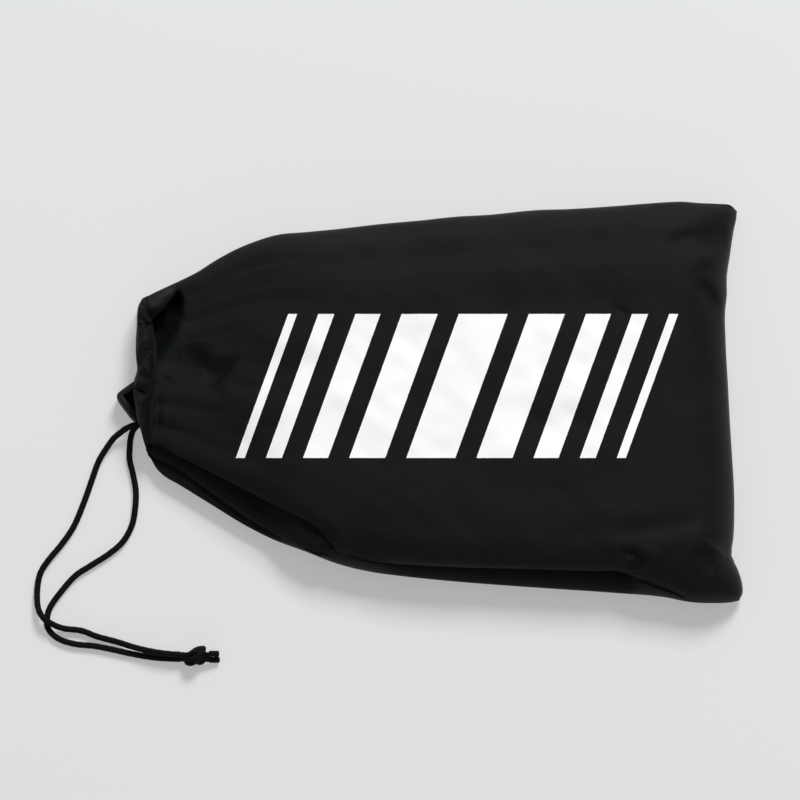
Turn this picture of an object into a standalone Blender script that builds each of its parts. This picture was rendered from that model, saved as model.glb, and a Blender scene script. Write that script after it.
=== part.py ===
"""A speed parachute, packed in its drawstring bag, which lies flat with its printed side up.

The mouth of the bag points to -X, its closed end to +X and its printed side to +Z. Lengths are
in metres, and "near" and "far" are the bag's long edges at -Y and +Y.
"""

import math

import bmesh
import bpy
from mathutils import Matrix, Vector

# The bag as it lies, and its cloth
BAG_LENGTH = 0.350
BAG_WIDTH = 0.232
BAG_HEIGHT = 0.036
MOUTH_HEIGHT = 0.0245
SEAM_HEIGHT = 0.015
SEAM_BAND = 0.0015
CLOTH = 0.001
GAP = 0.0003
TOP_CURVE = 0.022
FLOOR_CURVE = 0.013
END_CURVE = 0.024
NECK_LENGTH = 0.0695
NECK_RISE = 0.100

# The bag's outline: along its length, then its far and near edges as shares of its width
OUTLINE_SHARES = (
    (-0.475, 0.247, -0.060),
    (-0.463, 0.253, -0.071),
    (-0.449, 0.264, -0.132),
    (-0.437, 0.273, -0.168),
    (-0.406, 0.293, -0.201),
    (-0.354, 0.339, -0.248),
    (-0.286, 0.390, -0.312),
    (-0.251, 0.403, -0.340),
    (-0.197, 0.418, -0.372),
    (-0.149, 0.427, -0.400),
    (-0.097, 0.435, -0.422),
    (-0.014, 0.447, -0.433),
    (0.089, 0.463, -0.451),
    (0.193, 0.474, -0.462),
    (0.297, 0.483, -0.473),
    (0.391, 0.500, -0.483),
    (0.451, 0.490, -0.500),
    (0.500, 0.470, -0.494),
)
# The closed end: across the bag from near to far, then how far along it lies
END_SHARES = (
    (0.00, 0.490),
    (0.05, 0.500),
    (0.13, 0.484),
    (0.25, 0.488),
    (0.38, 0.484),
    (0.55, 0.478),
    (0.70, 0.473),
    (0.82, 0.476),
    (0.93, 0.486),
    (1.00, 0.490),
)
CURVE_STEPS = 5
ACROSS_STEPS = 8
BODY_STEPS = 11
NECK_STEPS = 7

# The hem channel that the drawcord runs through
HEM_STITCH_SHARE = -0.441
HEM_WIDTH = 0.010
HEM_NEAR_SHARE = -0.043
HEM_FAR_SHARE = 0.222
HEM_STEPS = 12
HEM_FOLD_STEPS = 5
HEM_TAPER_SHARE = 0.35

# The hem's end, a loop that stands out at the mouth
LOOP_CENTRE_SHARE = 0.004
LOOP_WIDTH = 0.019
LOOP_REACH = 0.0102
LOOP_LOW = 0.003
LOOP_TALL = 0.0095
LOOP_STEPS = 10

# The drawcord
CORD_DIAMETER = 0.0035
CORD_SIDES = 2
CORD_POINTS = 76
ROUTE_STEPS = 24
KNOT_LENGTH = 0.0151
KNOT_WIDTH = 0.0110
KNOT_HEIGHT = 0.0100
KNOT_PLACE = (-0.1306, -0.1430, 0.0053)
KNOT_RINGS = 8
KNOT_AROUND = 16
TAIL_POINTS = 8
LEG_A_ROUTE = (
    (-0.1634, -0.0109, 0.0099),
    (-0.1635, -0.0121, 0.0099),
    (-0.1643, -0.0132, 0.0098),
    (-0.1659, -0.0138, 0.0096),
    (-0.1696, -0.0144, 0.0091),
    (-0.1744, -0.0160, 0.0077),
    (-0.1806, -0.0221, 0.0048),
    (-0.1856, -0.0317, 0.0026),
    (-0.1896, -0.0431, 0.0019),
    (-0.1935, -0.0546, 0.0019),
    (-0.1991, -0.0684, 0.0019),
    (-0.2058, -0.0787, 0.0019),
    (-0.2131, -0.0878, 0.0019),
    (-0.2176, -0.0953, 0.0019),
    (-0.2192, -0.1045, 0.0021),
    (-0.2187, -0.1147, 0.0038),
    (-0.2156, -0.1212, 0.0060),
    (-0.2105, -0.1248, 0.0056),
    (-0.2041, -0.1268, 0.0030),
    (-0.1943, -0.1279, 0.0020),
    (-0.1856, -0.1312, 0.0021),
    (-0.1744, -0.1344, 0.0030),
    (-0.1640, -0.1380, 0.0047),
    (-0.1543, -0.1404, 0.0058),
    (-0.1450, -0.1418, 0.0062),
    (-0.1386, -0.1421, 0.0063),
)
LEG_B_ROUTE = (
    (-0.1614, -0.0104, 0.0056),
    (-0.1615, -0.0120, 0.0056),
    (-0.1622, -0.0137, 0.0055),
    (-0.1638, -0.0155, 0.0051),
    (-0.1663, -0.0187, 0.0042),
    (-0.1680, -0.0233, 0.0030),
    (-0.1682, -0.0305, 0.0021),
    (-0.1662, -0.0391, 0.0019),
    (-0.1646, -0.0483, 0.0019),
    (-0.1649, -0.0587, 0.0019),
    (-0.1668, -0.0684, 0.0019),
    (-0.1718, -0.0775, 0.0019),
    (-0.1795, -0.0844, 0.0019),
    (-0.1896, -0.0910, 0.0019),
    (-0.1980, -0.0967, 0.0019),
    (-0.2058, -0.1056, 0.0019),
    (-0.2120, -0.1147, 0.0019),
    (-0.2136, -0.1218, 0.0019),
    (-0.2125, -0.1274, 0.0019),
    (-0.2069, -0.1325, 0.0019),
    (-0.1980, -0.1354, 0.0019),
    (-0.1868, -0.1366, 0.0019),
    (-0.1767, -0.1386, 0.0019),
    (-0.1660, -0.1410, 0.0019),
    (-0.1543, -0.1430, 0.0019),
    (-0.1450, -0.1437, 0.0020),
    (-0.1386, -0.1439, 0.0021),
)
TAIL_A_ROUTE = (
    (-0.1229, -0.1449, 0.0036),
    (-0.1205, -0.1452, 0.0026),
    (-0.1172, -0.1455, 0.0019),
)
TAIL_B_ROUTE = (
    (-0.1229, -0.1412, 0.0064),
    (-0.1205, -0.1408, 0.0058),
    (-0.1176, -0.1404, 0.0048),
)

# Webbing, and the room that the packed pieces leave round them
WEBBING_WIDTH = 0.038
WEBBING = 0.0012
PACK_CLEAR = 0.003
BUCKLE_CLEAR = 0.002

# The side release buckle
BUCKLE_THICK = 0.012
BUCKLE_RAIL = 0.0044
BUCKLE_SLACK = 0.0006
BUCKLE_EDGE = 0.0012
BUCKLE_EDGE_STEPS = 2
BUCKLE_SHARE = -0.0625
SOCKET_LENGTH = 0.034
SOCKET_WALL = 0.0040
SOCKET_DEPTH = 0.024
SOCKET_ROOM = 0.0066
SOCKET_WINDOW_START = 0.008
SOCKET_WINDOW = 0.012
SLOT_LENGTH = 0.0048
BAR_LENGTH = 0.0042
BAR_THICK = 0.0050
BAR_STEP_SHARE = 1.5
TONGUE_HEAD = 0.009
TONGUE_SLOT = 0.0060
PRONG_LENGTH = 0.021
PRONG_WIDTH = 0.0055
PRONG_THICK = 0.0060
PRONG_ROOT_IN = 0.0015
BARB_LENGTH = 0.009
GUIDE_WIDTH = 0.0060
GUIDE_LENGTH = 0.014
CUT_OVERRUN = 0.002
STRAP_BEND_STEPS = 4
SOCKET_STRAP_EDGE = 0.0115
SOCKET_STRAP_SEAM_SHARE = 0.45
RELEASE_CLEAR = 0.001
TONGUE_STRAP_TURN = 0.012

# The tri-glide on the belt's free end
GLIDE_LENGTH = 0.022
GLIDE_BAR = 0.0050
GLIDE_BAR_THICK = 0.00275
GLIDE_SLACK = 0.0004
GLIDE_RAIL = 0.0034
GLIDE_EDGE = 0.0006
GLIDE_EDGE_STEPS = 1
GLIDE_END_CLEAR = 0.001

# The waist belt, wound flat
BELT_TURNS = 4
BELT_PITCH = 0.00165
BELT_CORE = 0.0008
BELT_SHARE = 0.615
BELT_ARC_STEPS = 8

# The belt's steel ring and the tab that holds it
RING_WIRE = 0.0035
RING_INNER_WIDTH = 0.026
RING_REACH = 0.018
RING_ARC_STEPS = 12
RING_WIRE_SIDES = 3
TAB_WIDTH = 0.022
TAB_LENGTH = 0.016
TAB_TURN_SHARE = 0.55
TAB_PLACE = 0.046
TAB_TURN_STEPS = 10

# The tether between the belt and the lines, folded
TETHER_WIDTH = 0.025
TETHER_FOLDS = 6
TETHER_PITCH = 0.0021
TETHER_GAP = 0.004
FOLD_STEPS = 5

# The canopy, folded gore on gore, its band and its vent
GORES = 8
LEAVES = 2
LEAF_GAP = 0.00045
PACK_GAP = 0.004
PACK_HEADROOM = 0.0018
BAND = 0.0008
BAND_WIDTH = 0.020
BAND_SHARE = 0.80
BAND_CORNER_STEPS = 4
VENT_CLEAR = 0.0055
VENT_THICK = 0.0012
VENT_SIDES = 32

# The suspension lines in their hank, its tie, and the ring that gathers them
HANK_WIDTH = 0.032
HANK_THICK = 0.008
HANK_END_STEPS = 10
HANK_MARGIN = 0.008
TIE = 0.0006
TIE_WIDTH = 0.012
LINE_RING_WIRE = 0.0040
LINE_RING_DIAMETER = 0.024
LINE_RING_GAP = 0.004
LINE_RING_STEPS = 28
LINE_RING_SIDES = 8

MERGE = 0.00001
HALF = 0.5
DOUBLE = 2.0

# Places that several pieces share
HINGE_X = HEM_STITCH_SHARE * BAG_LENGTH + NECK_LENGTH - HEM_WIDTH
STITCH_X = HEM_STITCH_SHARE * BAG_LENGTH
CORD_RADIUS = CORD_DIAMETER * HALF
HEM_FOLD = CORD_RADIUS + GAP + CLOTH * HALF
BUCKLE_WIDTH = WEBBING_WIDTH + DOUBLE * (BUCKLE_SLACK + BUCKLE_RAIL)
BUCKLE_X = HINGE_X + BUCKLE_CLEAR + BUCKLE_WIDTH * HALF
BUCKLE_Z = CLOTH + GAP + BUCKLE_THICK * HALF
STRAP_BEND = GAP + WEBBING * HALF
STRAP_LEVEL = BAR_THICK * HALF + STRAP_BEND
BELT_X = BUCKLE_X + (BUCKLE_WIDTH + WEBBING_WIDTH) * HALF + PACK_CLEAR
BELT_RADIUS = BELT_CORE + BELT_PITCH * BELT_TURNS
BELT_HALF_THICK = BELT_RADIUS + WEBBING * HALF
BELT_Z = CLOTH + GAP + BELT_RADIUS + WEBBING * HALF
BELT_TOP = BELT_Z + BELT_RADIUS - BELT_PITCH * HALF + WEBBING * HALF
PACK_START = BELT_X + WEBBING_WIDTH * HALF + PACK_GAP
RING_RADIUS = RING_WIRE * HALF
TAB_TURN = RING_RADIUS + GAP + WEBBING * HALF
TAB_LOW = BELT_TOP + GAP + WEBBING * HALF
RING_Z = TAB_LOW + TAB_TURN
TOP_EDGE = SEAM_HEIGHT + GAP * HALF
FLOOR_EDGE = SEAM_HEIGHT - GAP * HALF
EDGE_STEPS = CURVE_STEPS + 1
PANEL_ROWS = EDGE_STEPS + ACROSS_STEPS + EDGE_STEPS


def read_table(table, where, column):
    """Read one column of a table smoothly at a place in its first column."""
    places = [row[0] for row in table]
    values = [row[column] for row in table]
    if where <= places[0]:
        return values[0]
    if where >= places[-1]:
        return values[-1]
    last = len(places) - 1
    k = max(i for i in range(last) if places[i] <= where)

    def slope(i):
        low, high = max(i - 1, 0), min(i + 1, last)
        return (values[high] - values[low]) / (places[high] - places[low])

    span = places[k + 1] - places[k]
    t = (where - places[k]) / span
    rise = values[k + 1] - values[k]
    a = slope(k) * span - rise
    b = rise - slope(k + 1) * span
    return values[k] + t * rise + t * (1 - t) * ((1 - t) * a + t * b)


def edges_at(x):
    """The near and far edges of the bag at x."""
    share = x / BAG_LENGTH
    far = read_table(OUTLINE_SHARES, share, 1) * BAG_WIDTH
    near = read_table(OUTLINE_SHARES, share, 2) * BAG_WIDTH
    return near, far


def end_at(across):
    """Where the closed end lies, for a share across the bag."""
    return read_table(END_SHARES, across, 1) * BAG_LENGTH


def rounding(inset, curve):
    """The height, from 0 to 1, of a quarter round at a distance in from its edge."""
    left = 1 - min(max(inset / curve, 0), 1)
    return math.sqrt(1 - left * left)


def height_at(x):
    """The bag's height over its middle, which rises from the mouth to the full bag."""
    t = min(max((x - STITCH_X) / NECK_RISE, 0), 1)
    return MOUTH_HEIGHT + (BAG_HEIGHT - MOUTH_HEIGHT) * t * t * (3 - DOUBLE * t)


def top_z(x, y, end=None):
    """The outer face of the top cloth."""
    near, far = edges_at(x)
    side = rounding(min(far - y, y - near), TOP_CURVE)
    closed = 1 if end is None else rounding(end - x, END_CURVE)
    edge = TOP_EDGE + SEAM_BAND
    return edge + (height_at(x) - edge) * side * closed


def floor_z(x, y, end=None):
    """The outer face of the bottom cloth."""
    near, far = edges_at(x)
    side = rounding(min(far - y, y - near), FLOOR_CURVE)
    closed = 1 if end is None else rounding(end - x, FLOOR_CURVE)
    return (FLOOR_EDGE - SEAM_BAND) * (1 - side * closed)


def insets(curve):
    """Distances in from an edge: up its upright seam band, then evenly round a quarter round."""
    quarter = math.pi * HALF
    return [0] + [curve * (1 - math.cos(quarter * k / CURVE_STEPS)) for k in range(EDGE_STEPS)]


def across_at(j, x, curve):
    """The y of row j of a panel at x, with its rows close together at both edges."""
    near, far = edges_at(x)
    steps = insets(curve)
    if j <= EDGE_STEPS:
        return near + steps[j]
    if j >= EDGE_STEPS + ACROSS_STEPS:
        return far - steps[PANEL_ROWS - j]
    share = (j - EDGE_STEPS) / ACROSS_STEPS
    return near + curve + share * (far - near - DOUBLE * curve)


def share_at(j, curve):
    """How far across the bag row j of a panel lies, from 0 at its near edge to 1 at its far one."""
    steps = insets(curve)
    if j <= EDGE_STEPS:
        return steps[j] / BAG_WIDTH
    if j >= EDGE_STEPS + ACROSS_STEPS:
        return 1 - steps[PANEL_ROWS - j] / BAG_WIDTH
    return (curve + (j - EDGE_STEPS) / ACROSS_STEPS * (BAG_WIDTH - DOUBLE * curve)) / BAG_WIDTH


def along_at(i, start, end, curve, steps):
    """The x of column i of a panel, with its columns close together at the closed end."""
    if i >= steps:
        return end - insets(curve)[steps + EDGE_STEPS - i]
    return start + (end - curve - start) * i / steps


def material(name, color, roughness, metallic=0.0):
    made = bpy.data.materials.new(name)
    made.use_nodes = True
    shader = made.node_tree.nodes["Principled BSDF"]
    shader.inputs["Base Color"].default_value = (*color, 1.0)
    shader.inputs["Roughness"].default_value = roughness
    shader.inputs["Metallic"].default_value = metallic
    made.diffuse_color = (*color, 1.0)
    return made


def new_collection(name):
    made = bpy.data.collections.new(name)
    bpy.context.scene.collection.children.link(made)
    return made


def keep(name, data, made_of, group=None):
    """Link data as a named object with its own material."""
    obj = bpy.data.objects.new(name, data)
    (group or PARTS).objects.link(obj)
    if made_of:
        data.materials.append(material(name, *made_of))
    return obj


def bent_grid(name, columns, rows, place, made_of):
    """A flat grid bent into an open sheet: place gives the point of a column and a row."""
    mesh = bmesh.new()
    bmesh.ops.create_grid(mesh, x_segments=columns, y_segments=rows, size=1.0)
    for vertex in mesh.verts:
        i = round((vertex.co.x + 1) * HALF * columns)
        j = round((vertex.co.y + 1) * HALF * rows)
        vertex.co = place(i, j)
    bmesh.ops.remove_doubles(mesh, verts=mesh.verts, dist=MERGE)
    data = bpy.data.meshes.new(name)
    mesh.to_mesh(data)
    mesh.free()
    data.shade_smooth()
    return keep(name, data, made_of)


def thicken(obj, thickness, offset):
    """Give a sheet its thickness: offset -1 is under its normals, 0 both ways, 1 above."""
    solid = obj.modifiers.new("Thickness", "SOLIDIFY")
    solid.thickness = thickness
    solid.offset = offset
    solid.use_even_offset = True
    return obj


def ribbon(name, path, x, width, thickness, made_of):
    """A strip of webbing or cloth along a path of (y, z) points, as wide as it is along X."""
    steps = len(path) - 1

    def place(i, j):
        y, z = path[i]
        return Vector((x + (j - HALF) * width, y, z))

    return thicken(bent_grid(name, steps, 1, place, made_of), thickness, 0)


def arc(centre, radius, start, stop, steps):
    """Points round an arc in the plane of a path, with angles in degrees."""
    points = []
    for k in range(steps + 1):
        angle = math.radians(start + (stop - start) * k / steps)
        points.append((centre[0] + radius * math.cos(angle), centre[1] + radius * math.sin(angle)))
    return points


def flat_outline(name, outlines, thickness, made_of, group=None):
    """A flat piece from closed outlines, the first its edge and the others its holes."""
    data = bpy.data.curves.new(name, "CURVE")
    data.dimensions = "2D"
    data.fill_mode = "BOTH"
    data.extrude = thickness * HALF
    for outline in outlines:
        spline = data.splines.new("POLY")
        spline.points.add(len(outline) - 1)
        for point, (u, v) in zip(spline.points, outline):
            point.co = (u, v, 0, 1)
        spline.use_cyclic_u = True
    return keep(name, data, made_of, group)


def as_mesh(obj):
    """Turn a curve object into a mesh object with welded caps, in the same place."""
    graph = bpy.context.evaluated_depsgraph_get()
    data = bpy.data.meshes.new_from_object(obj.evaluated_get(graph))
    welded = bmesh.new()
    welded.from_mesh(data)
    bmesh.ops.remove_doubles(welded, verts=welded.verts, dist=MERGE)
    bmesh.ops.recalc_face_normals(welded, faces=welded.faces)
    welded.to_mesh(data)
    welded.free()
    name, place, group = obj.name, obj.matrix_world.copy(), obj.users_collection[0]
    old = obj.data
    bpy.data.objects.remove(obj)
    bpy.data.curves.remove(old)
    made = bpy.data.objects.new(name, data)
    made.matrix_world = place
    group.objects.link(made)
    return made


def tube(name, points, radius, sides, made_of, closed=False):
    """A round tube through points."""
    data = bpy.data.curves.new(name, "CURVE")
    data.dimensions = "3D"
    data.bevel_depth = radius
    data.bevel_resolution = sides
    data.use_fill_caps = not closed
    spline = data.splines.new("POLY")
    spline.points.add(len(points) - 1)
    for point, place in zip(spline.points, points):
        point.co = (*place, 1)
    spline.use_cyclic_u = closed
    spline.use_smooth = True
    return keep(name, data, made_of)


def smooth_route(route, count):
    """Evenly spaced points on a smooth curve through a route's own points."""
    points = [Vector(p) for p in route]
    last = len(points) - 1
    fine = []
    for k in range(last):
        before = points[k - 1] if k else points[k] * DOUBLE - points[k + 1]
        after = points[k + 2] if k + 1 < last else points[k + 1] * DOUBLE - points[k]
        slope_in = (points[k + 1] - before) * HALF
        slope_out = (after - points[k]) * HALF
        rise = points[k + 1] - points[k]
        for step in range(ROUTE_STEPS):
            t = step / ROUTE_STEPS
            bend = (1 - t) * (slope_in - rise) + t * (rise - slope_out)
            fine.append(points[k] + t * rise + t * (1 - t) * bend)
    fine.append(points[last])
    reach = [0.0]
    for a, b in zip(fine, fine[1:]):
        reach.append(reach[-1] + (b - a).length)
    spaced = []
    k = 0
    for step in range(count):
        want = reach[-1] * step / (count - 1)
        while k < len(fine) - 2 and reach[k + 1] < want:
            k += 1
        share = (want - reach[k]) / (reach[k + 1] - reach[k])
        spaced.append(fine[k].lerp(fine[k + 1], share))
    return spaced


def box(name, low, high, made_of=None, group=None):
    """A box between two corners."""
    mesh = bmesh.new()
    bmesh.ops.create_cube(mesh, size=1.0)
    low, high = Vector(low), Vector(high)
    size = high - low
    bmesh.ops.scale(mesh, vec=size, verts=mesh.verts)
    data = bpy.data.meshes.new(name)
    mesh.to_mesh(data)
    mesh.free()
    obj = keep(name, data, made_of, group)
    obj.location = (low + high) * HALF
    return obj


def cutter(name, low, high):
    obj = box(name, low, high, group=CUTTERS)
    obj.hide_render = True
    obj.display_type = "WIRE"
    return obj


def boolean(obj, other, operation):
    change = obj.modifiers.new(other.name, "BOOLEAN")
    change.object = other
    change.operation = operation
    change.solver = "EXACT"
    other.hide_render = True
    other.display_type = "WIRE"


def round_edges(obj, width, steps):
    bevel = obj.modifiers.new("Edges", "BEVEL")
    bevel.width = width
    bevel.segments = steps
    bevel.limit_method = "ANGLE"
    return bevel


def set_origin(obj, point):
    """Move an object's origin without moving its shape."""
    shift = Vector(point) - obj.location
    obj.data.transform(Matrix.Translation(-shift))
    obj.location = obj.location + shift


def rounded_box_outline(width, height, radius, steps):
    """A closed outline with round corners, centred on zero."""
    points = []
    for corner, (side, level) in enumerate(((1, 1), (-1, 1), (-1, -1), (1, -1))):
        centre = (side * (width * HALF - radius), level * (height * HALF - radius))
        points.extend(arc(centre, radius, corner * 90, corner * 90 + 90, steps))
    return points


# Bag

BLACK_CLOTH = ((0.012, 0.014, 0.013), 0.8)


def make_back_panel():
    start = STITCH_X + GAP
    steps = BODY_STEPS + NECK_STEPS
    columns = steps + EDGE_STEPS

    def place(i, j):
        end = end_at(share_at(j, FLOOR_CURVE))
        x = along_at(i, start, end, FLOOR_CURVE, steps)
        y = across_at(j, x, FLOOR_CURVE)
        on_seam = i == columns or j in (0, PANEL_ROWS)
        return Vector((x, y, FLOOR_EDGE if on_seam else floor_z(x, y, end)))

    panel = bent_grid("bag_back_panel", columns, PANEL_ROWS, place, BLACK_CLOTH)
    flatten_floor(panel.data)
    return thicken(panel, CLOTH, 1)


def flatten_floor(data):
    """Join the faces of the bottom that lie flat on the floor into one."""
    mesh = bmesh.new()
    mesh.from_mesh(data)
    flat = [f for f in mesh.faces if all(v.co.z < MERGE for v in f.verts)]
    for face in flat:
        for vertex in face.verts:
            vertex.co.z = 0
    bmesh.ops.dissolve_faces(mesh, faces=flat, use_verts=True)
    mesh.to_mesh(data)
    mesh.free()
    data.shade_smooth()


def make_front_panel():
    start = HINGE_X + GAP * HALF
    columns = BODY_STEPS + EDGE_STEPS

    def place(i, j):
        end = end_at(share_at(j, TOP_CURVE))
        x = along_at(i, start, end, END_CURVE, BODY_STEPS)
        y = across_at(j, x, TOP_CURVE)
        on_seam = i == columns or j in (0, PANEL_ROWS)
        return Vector((x, y, TOP_EDGE if on_seam else top_z(x, y, end)))

    panel = bent_grid("bag_front_panel", columns, PANEL_ROWS, place, BLACK_CLOTH)
    return thicken(panel, CLOTH, -1)


def make_front_lip():
    start = STITCH_X + GAP
    stop = HINGE_X - GAP * HALF

    def place(i, j):
        x = start + (stop - start) * i / NECK_STEPS
        y = across_at(j, x, TOP_CURVE)
        return Vector((x, y, TOP_EDGE if j in (0, PANEL_ROWS) else top_z(x, y)))

    lip = bent_grid("bag_front_lip", NECK_STEPS, PANEL_ROWS, place, BLACK_CLOTH)
    return thicken(lip, CLOTH, -1)


def hem_section():
    """The hem's middle line: how far out from the stitch line, and how deep in."""
    bend = HEM_WIDTH - HEM_FOLD - CLOTH * HALF
    outer = CLOTH * HALF
    points = [(0, outer), (bend * HALF, outer)]
    points.extend(arc((bend, outer + HEM_FOLD), HEM_FOLD, -90, 90, HEM_FOLD_STEPS))
    taper = bend * HEM_TAPER_SHARE
    points.append((taper, outer + CLOTH + GAP + HEM_FOLD))
    points.append((0, outer + CLOTH + GAP))
    return points


def hem_y(j):
    near, far = HEM_NEAR_SHARE * BAG_WIDTH, HEM_FAR_SHARE * BAG_WIDTH
    return near + (far - near) * j / HEM_STEPS


def make_hem(name, outer_face, inward):
    """One hem channel, folded over the cord. inward is -1 on the front and 1 on the back."""
    section = hem_section()

    def place(i, j):
        out, deep = section[i]
        y = hem_y(j)
        return Vector((STITCH_X - out, y, outer_face(STITCH_X, y) + inward * deep))

    return thicken(bent_grid(name, len(section) - 1, HEM_STEPS, place, BLACK_CLOTH), CLOTH, 0)


def make_channel_end_loop():
    """The end of the hem, which stands out from the mouth as a small upright loop."""
    bend = (LOOP_WIDTH - CLOTH) * HALF
    reach = LOOP_REACH - CLOTH * HALF
    middle = LOOP_CENTRE_SHARE * BAG_WIDTH
    root = STITCH_X - HEM_WIDTH - GAP - CLOTH * HALF
    round_part = [
        (root - reach * math.sin(math.radians(angle)), middle + bend * math.cos(math.radians(angle)))
        for angle in [180 * k / LOOP_STEPS for k in range(LOOP_STEPS + 1)]
    ]

    def place(i, j):
        x, y = round_part[i]
        return Vector((x, y, LOOP_LOW + j * LOOP_TALL))

    return thicken(bent_grid("channel_end_loop", LOOP_STEPS, 1, place, BLACK_CLOTH), CLOTH, 0)


# Drawcord

CORD = ((0.010, 0.010, 0.011), 0.6)


def make_cord_run(name, outer_face, inward):
    """The cord inside one hem channel."""
    x = STITCH_X - (HEM_WIDTH - HEM_FOLD - CLOTH * HALF)
    points = []
    for k in range(HEM_STEPS + 1):
        y = hem_y(k)
        points.append((x, y, outer_face(STITCH_X, y) + inward * (CLOTH * HALF + HEM_FOLD)))
    return tube(name, points, CORD_RADIUS, CORD_SIDES, CORD)


def make_cord_leg(name, route):
    return tube(name, smooth_route(route, CORD_POINTS), CORD_RADIUS, CORD_SIDES, CORD)


def make_knot():
    mesh = bmesh.new()
    bmesh.ops.create_uvsphere(mesh, u_segments=KNOT_AROUND, v_segments=KNOT_RINGS, radius=HALF)
    bmesh.ops.scale(mesh, vec=(KNOT_LENGTH, KNOT_WIDTH, KNOT_HEIGHT), verts=mesh.verts)
    data = bpy.data.meshes.new("drawcord_knot")
    mesh.to_mesh(data)
    mesh.free()
    data.shade_smooth()
    knot = keep("drawcord_knot", data, CORD)
    knot.location = KNOT_PLACE
    return knot


def make_cord_tail(name, route):
    return tube(name, smooth_route(route, TAIL_POINTS), CORD_RADIUS, CORD_SIDES, CORD)


# Waist belt

WEBBING_LOOK = ((0.016, 0.016, 0.017), 0.75)
PLASTIC = ((0.012, 0.012, 0.013), 0.42)
STEEL = ((0.56, 0.57, 0.58), 0.3, 1.0)


def buckle_y():
    """Where the socket meets the tongue."""
    near, far = edges_at(BUCKLE_X)
    return (near + far) * HALF + BUCKLE_SHARE * BAG_WIDTH


def make_socket():
    face = buckle_y()
    back = face - SOCKET_LENGTH
    half = BUCKLE_WIDTH * HALF
    socket = box(
        "buckle_socket",
        (BUCKLE_X - half, back, BUCKLE_Z - BUCKLE_THICK * HALF),
        (BUCKLE_X + half, face, BUCKLE_Z + BUCKLE_THICK * HALF),
        PLASTIC,
    )
    round_edges(socket, BUCKLE_EDGE, BUCKLE_EDGE_STEPS)
    inner = half - SOCKET_WALL
    room = SOCKET_ROOM * HALF
    cavity = cutter(
        "socket_cavity",
        (BUCKLE_X - inner, face - SOCKET_DEPTH, BUCKLE_Z - room),
        (BUCKLE_X + inner, face + CUT_OVERRUN, BUCKLE_Z + room),
    )
    windows = cutter(
        "socket_windows",
        (BUCKLE_X - half - CUT_OVERRUN, face - SOCKET_WINDOW_START - SOCKET_WINDOW, BUCKLE_Z - room),
        (BUCKLE_X + half + CUT_OVERRUN, face - SOCKET_WINDOW_START, BUCKLE_Z + room),
    )
    slot_half = WEBBING_WIDTH * HALF + BUCKLE_SLACK
    slot = cutter(
        "socket_slot",
        (BUCKLE_X - slot_half, back + BAR_LENGTH, BUCKLE_Z - BUCKLE_THICK),
        (BUCKLE_X + slot_half, back + BAR_LENGTH + SLOT_LENGTH, BUCKLE_Z + BUCKLE_THICK),
    )
    boolean(socket, cavity, "DIFFERENCE")
    boolean(socket, windows, "DIFFERENCE")
    boolean(socket, slot, "DIFFERENCE")
    for side in (-1, 1):
        middle = BUCKLE_Z + side * (BAR_THICK * HALF + BUCKLE_THICK * HALF)
        step = cutter(
            "socket_bar_step_" + ("low" if side < 0 else "high"),
            (BUCKLE_X - slot_half, back - CUT_OVERRUN, middle - BUCKLE_THICK * HALF),
            (BUCKLE_X + slot_half, back + BAR_LENGTH * BAR_STEP_SHARE, middle + BUCKLE_THICK * HALF),
        )
        boolean(socket, step, "DIFFERENCE")
    return socket


def prong_outline():
    """One side prong seen from above, root at zero, tip towards -Y, its barb towards +X."""
    outer = WEBBING_WIDTH * HALF + BUCKLE_SLACK + BUCKLE_RAIL - SOCKET_WALL - GAP
    root = outer - PRONG_ROOT_IN
    inner = root - PRONG_WIDTH
    barb_start = -PRONG_LENGTH + BARB_LENGTH
    return [
        (inner, PRONG_ROOT_IN),
        (inner, -PRONG_LENGTH * HALF),
        (inner + PRONG_ROOT_IN, -PRONG_LENGTH),
        (root, -PRONG_LENGTH),
        (outer, barb_start - PRONG_ROOT_IN),
        (outer, barb_start),
        (root, barb_start + PRONG_ROOT_IN),
        (root, PRONG_ROOT_IN),
    ]


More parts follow.
